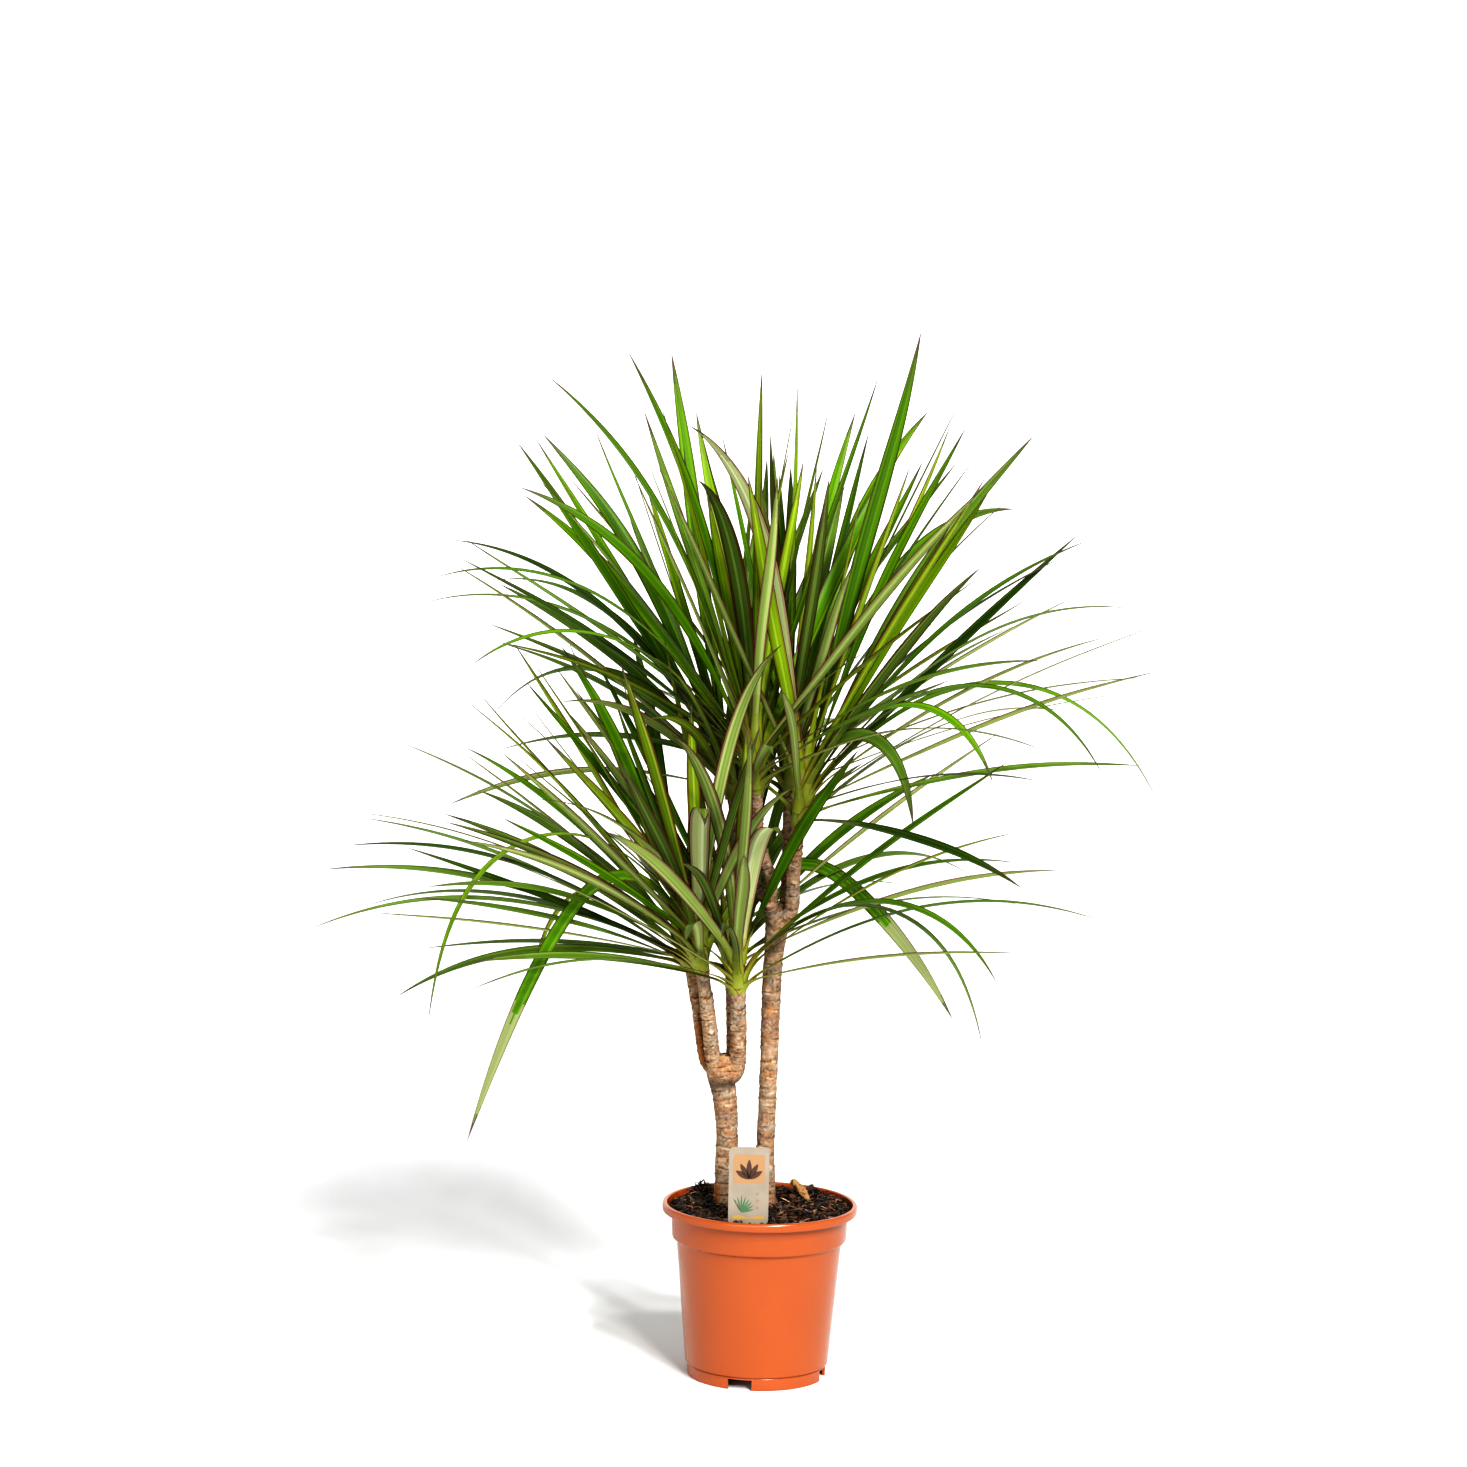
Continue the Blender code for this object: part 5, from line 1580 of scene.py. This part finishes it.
def make_fibres(draw):
    """Short pale fibres, and two long ones."""
    fibres = Build()
    for _ in range(FIBRE_COUNT):
        x, y, z = soil_spot(draw, BED_RADIUS - 3.0)
        start = (x, y, z + draw.uniform(1.4, 2.8))
        add_strand(fibres, draw, start, draw.uniform(2.0, 8.0), draw.uniform(0.12, 0.34),
                   draw.uniform(0.0, 0.5), draw.randrange(3))
    for index, route in enumerate(LONG_FIBRES):
        add_tube(fibres, [Vector(place) for place in route], (0.4, 0.6, 0.3), 6, 2 - index)
    fibres.piece("soil_fibres", shades("fibre", FIBRE_COLOURS, 0.8, 0.2), "peat_soil")


def make_chips(draw, small):
    """Flat chips of bark, and two knobbly bars."""
    chips = Build()
    for _ in range(CHIP_COUNT):
        x, y, z = soil_spot(draw, BED_RADIUS - 6.0)
        points, faces = draw.choice(small)
        size = draw.uniform(0.8, 1.8)
        chips.add(turned_rows(draw, points, (1.7 * size, 0.9 * size, 0.4 * size), (x, y, z + 1.6)), faces,
                  draw.choice(CHIP_SHADES))
    add_bar(chips, CHIP_ROUTE, 41, (0, 1))
    add_bar(chips, SMALL_CHIP_ROUTE, 43, (0, 1))
    chips.piece("soil_chips", shades("chip", CHIP_COLOURS, 0.8, 0.2), "peat_soil", sharp_angle=30.0)


def make_soil_bits():
    """What lies on the soil, each kind joined."""
    draw = random.Random(SOIL_SEED)
    small = [lump_shape(draw, 1) for _ in range(LUMP_SHAPES)]
    large = [lump_shape(draw, 2) for _ in range(LUMP_SHAPES)]
    make_crumbs(draw, small, large)
    make_strands(draw)
    make_fibres(draw)
    make_chips(draw, small)


# Label print, in millimetres on the label: the inks of its panel, leaf shapes, tuft, wave and dots, how deep
# and how high the print lies, and the corners, places and counts of its parts
INK_COLOURS = ("947656", "4a3226", "47684a", "a08448", "8a745e")
PRINT_SINK = 0.05
PRINT_RISE = 0.06
PANEL_CORNERS = ((0, 33.0, 0), (13.6, 33.0, 3.0), (13.6, 57.5, 3.0), (0, 57.5, 0))
LENS_STEPS = 10
WAVE_END = 13.5
WAVE_FOOT = 2.4
WAVE_STEPS = 11
DOT_COUNT = 3
DOT_SIDES = 16
DOT_RADIUS = 1.5
DOT_PLACE = (7.5, 12.0)
DOT_SPACING = 6.0

# The print's leaf shapes and tuft: each kind's root, length and what a degree of lean takes off it, breadth,
# leans in degrees, and rise above the other inks and what a degree of lean adds to it
PRINT_LENSES = (((0.0, 36.5), 17.0, 0.06, 4.6, (-58, -30, 0, 30, 58), 0.05, 0.0),
                ((-6.0, 8.0), 15.0, 0.05, 1.5, range(-75, 76, 15), 0.0, 0.002))


def label_transform():
    """Stands the label, drawn across and up, in the soil."""
    stand = Matrix.Rotation(math.radians(90.0 - LABEL_LEAN), 4, "X")
    return Matrix.Translation((LABEL_X, LABEL_Y, LABEL_SHOULDER)) @ stand


def add_plate(build, outline, low, high, slot, place):
    """A flat plate: an outline across and up, between two depths, stood in place."""
    points = [place @ Vector((x, y, depth)) for depth in (low, high) for x, y in outline]
    build.add(points, ring_faces(2, len(outline)), slot)


def lens(foot, length, width, lean):
    """A leaf-shaped outline that stands on its foot and leans by an angle."""
    turn = math.radians(lean)
    sides = []
    for step in range(LENS_STEPS + 1):
        t = step / LENS_STEPS
        sides.append((0.5 * width * math.sin(math.pi * t) ** 0.8 if 0 < t < 1 else 0.0, length * t))
    outline = sides + [(-x, y) for x, y in reversed(sides[1:-1])]
    across, up = Vector((math.cos(turn), -math.sin(turn))), Vector((math.sin(turn), math.cos(turn)))
    return [tuple(Vector(foot) + across * x + up * y) for x, y in outline]


def make_label():
    """The plant label, with a plain printed leaf motif."""
    half = 0.5 * LABEL_WIDTH
    stake = 0.5 * LABEL_STAKE_WIDTH
    top = LABEL_TOP - LABEL_SHOULDER
    foot = LABEL_FOOT - LABEL_SHOULDER
    right = [(0.0, foot, 0.0), (stake, foot + 6.0, 1.5), (stake, -10.0, 1.0), (half, 0.0, 2.0),
             (half, top, 5.0), (0.0, top, 0.0)]
    side = rounded(right, 6)
    outline = side[:-1] + [(-x, y) for x, y in reversed(side[1:-1])]
    place = label_transform()
    depth = 0.5 * LABEL_THICKNESS
    card = Build()
    add_plate(card, outline, -depth, depth, 0, place)
    card.piece("label_card", [label_material()], "label_plastic", "plant_label", sharp_angle=30.0)
    ink = Build()
    low, high = depth - PRINT_SINK, depth + PRINT_RISE
    panel = rounded(PANEL_CORNERS)
    add_plate(ink, panel[:-1] + [(-x, y) for x, y in reversed(panel[1:])], low, high, 0, place)
    for slot, (root, length, loss, width, leans, rise, gain) in enumerate(PRINT_LENSES, 1):
        for lean in leans:
            shape = lens(root, length - loss * abs(lean), width, lean)
            add_plate(ink, shape, low, high + rise + gain * lean, slot, place)
    wave = [(-WAVE_END + 2.7 * step, 4.6 + 1.1 * math.sin(0.9 * step)) for step in range(WAVE_STEPS)]
    add_plate(ink, [(-WAVE_END, WAVE_FOOT), *wave, (WAVE_END, WAVE_FOOT)], low, high, 3, place)
    for index in range(DOT_COUNT):
        x, y = DOT_PLACE
        turns = [0.4 * step for step in range(DOT_SIDES)]
        dot = [(x + DOT_RADIUS * math.cos(turn), y + DOT_SPACING * index + DOT_RADIUS * math.sin(turn))
               for turn in turns]
        add_plate(ink, dot, low, high, 4, place)
    ink.piece("label_print", shades("ink", INK_COLOURS, 0.4, 0.4), "label_plastic", sharp_angle=30.0)


def label_material():
    material = plain_material("label_card", linear(LABEL_COLOUR), 0.3, 0.5)
    add_blend(material, noise_factor(material, 60.0, 2.0), LABEL_CLOUD_COLOURS)
    return material


# Camera, found from the pot's ellipses and height: focal length and place, pitch down and roll
FRAME_PIXELS = 1467
FOCAL_PIXELS = 4217
SENSOR_MM = 36.0
CAMERA_PLACE = (-0.0321, -3.6, 0.980)
CAMERA_PITCH = 6.62
CAMERA_ROLL = 1.28

# Stage in metres: the floor's reach, its whiteness and how far it lies below the pot, and the sheet behind
FLOOR_REACH = 30.0
FLOOR_SHADE = 0.77
FLOOR_DROP = 0.0002
BACKDROP_PLACE = (0.0, 9.0, 3.0)
BACKDROP_SIZE = (16.0, 6.5)

# Light: the even surround, and the lamps by the way their light travels, their strength and their breadth in
# degrees
FILL_STRENGTH = 0.42
LAMPS = {"key_far": ((-0.24, 0.80, -0.44), 1.1, 6.0), "key_middle": ((-0.29, 0.69, -0.55), 1.25, 6.0),
         "key_near": ((-0.34, 0.54, -0.67), 1.15, 6.0), "front": ((0.28, 0.94, -0.18), 0.8, 40.0)}


def make_camera():
    data = bpy.data.cameras.new("camera")
    data.sensor_width = SENSOR_MM
    data.lens = SENSOR_MM * FOCAL_PIXELS / FRAME_PIXELS
    data.clip_end = 100.0
    camera = linked("camera", data)
    look = Matrix.Rotation(math.radians(90.0 - CAMERA_PITCH), 4, "X") @ Matrix.Rotation(
        math.radians(CAMERA_ROLL), 4, "Z")
    camera.matrix_world = Matrix.Translation(CAMERA_PLACE) @ look
    bpy.context.scene.camera = camera


def add_sun(name, towards, strength, size):
    """A lamp far off, whose light travels along towards."""
    data = bpy.data.lights.new(name, "SUN")
    data.energy = strength
    data.angle = math.radians(size)
    lamp = linked(name, data)
    lamp.rotation_euler = Vector(towards).to_track_quat("-Z", "Y").to_euler()


def make_stage():
    """A white floor under an even pale surround, a glowing sheet behind, and the lamps."""
    work = bmesh.new()
    bmesh.ops.create_grid(work, x_segments=8, y_segments=8, size=FLOOR_REACH)
    mesh = bpy.data.meshes.new("floor")
    work.to_mesh(mesh)
    work.free()
    mesh.materials.append(plain_material("floor_white", (FLOOR_SHADE,) * 3, 0.9, 0.1))
    floor = linked("floor", mesh)
    floor.location.z = -FLOOR_DROP
    bpy.ops.mesh.primitive_plane_add(size=1.0, location=BACKDROP_PLACE)
    backdrop = bpy.context.object
    backdrop.name = "backdrop"
    backdrop.rotation_euler.x = math.radians(90.0)
    backdrop.scale = (*BACKDROP_SIZE, 1.0)
    glow = plain_material("backdrop_white", (0.0, 0.0, 0.0), 1.0, 0.0)
    glow_inputs = glow.node_tree.nodes["Principled BSDF"].inputs
    glow_inputs["Emission Color"].default_value = (1.0, 1.0, 1.0, 1.0)
    glow_inputs["Emission Strength"].default_value = 1.0
    backdrop.data.materials.append(glow)
    world = bpy.data.worlds.new("surround")
    bpy.context.scene.world = world
    world.use_nodes = True
    world_inputs = world.node_tree.nodes["Background"].inputs
    world_inputs["Color"].default_value = (1.0, 1.0, 1.0, 1.0)
    world_inputs["Strength"].default_value = FILL_STRENGTH
    for name, (towards, strength, size) in LAMPS.items():
        add_sun(name, towards, strength, size)
    bpy.context.scene.view_settings.view_transform = "Standard"
    bpy.context.scene.view_settings.look = "Very High Contrast"


def main():
    make_camera()
    make_stage()
    make_pot()
    make_soil_bed()
    make_soil_bits()
    make_label()
    make_bark()
    make_leaves()


main()
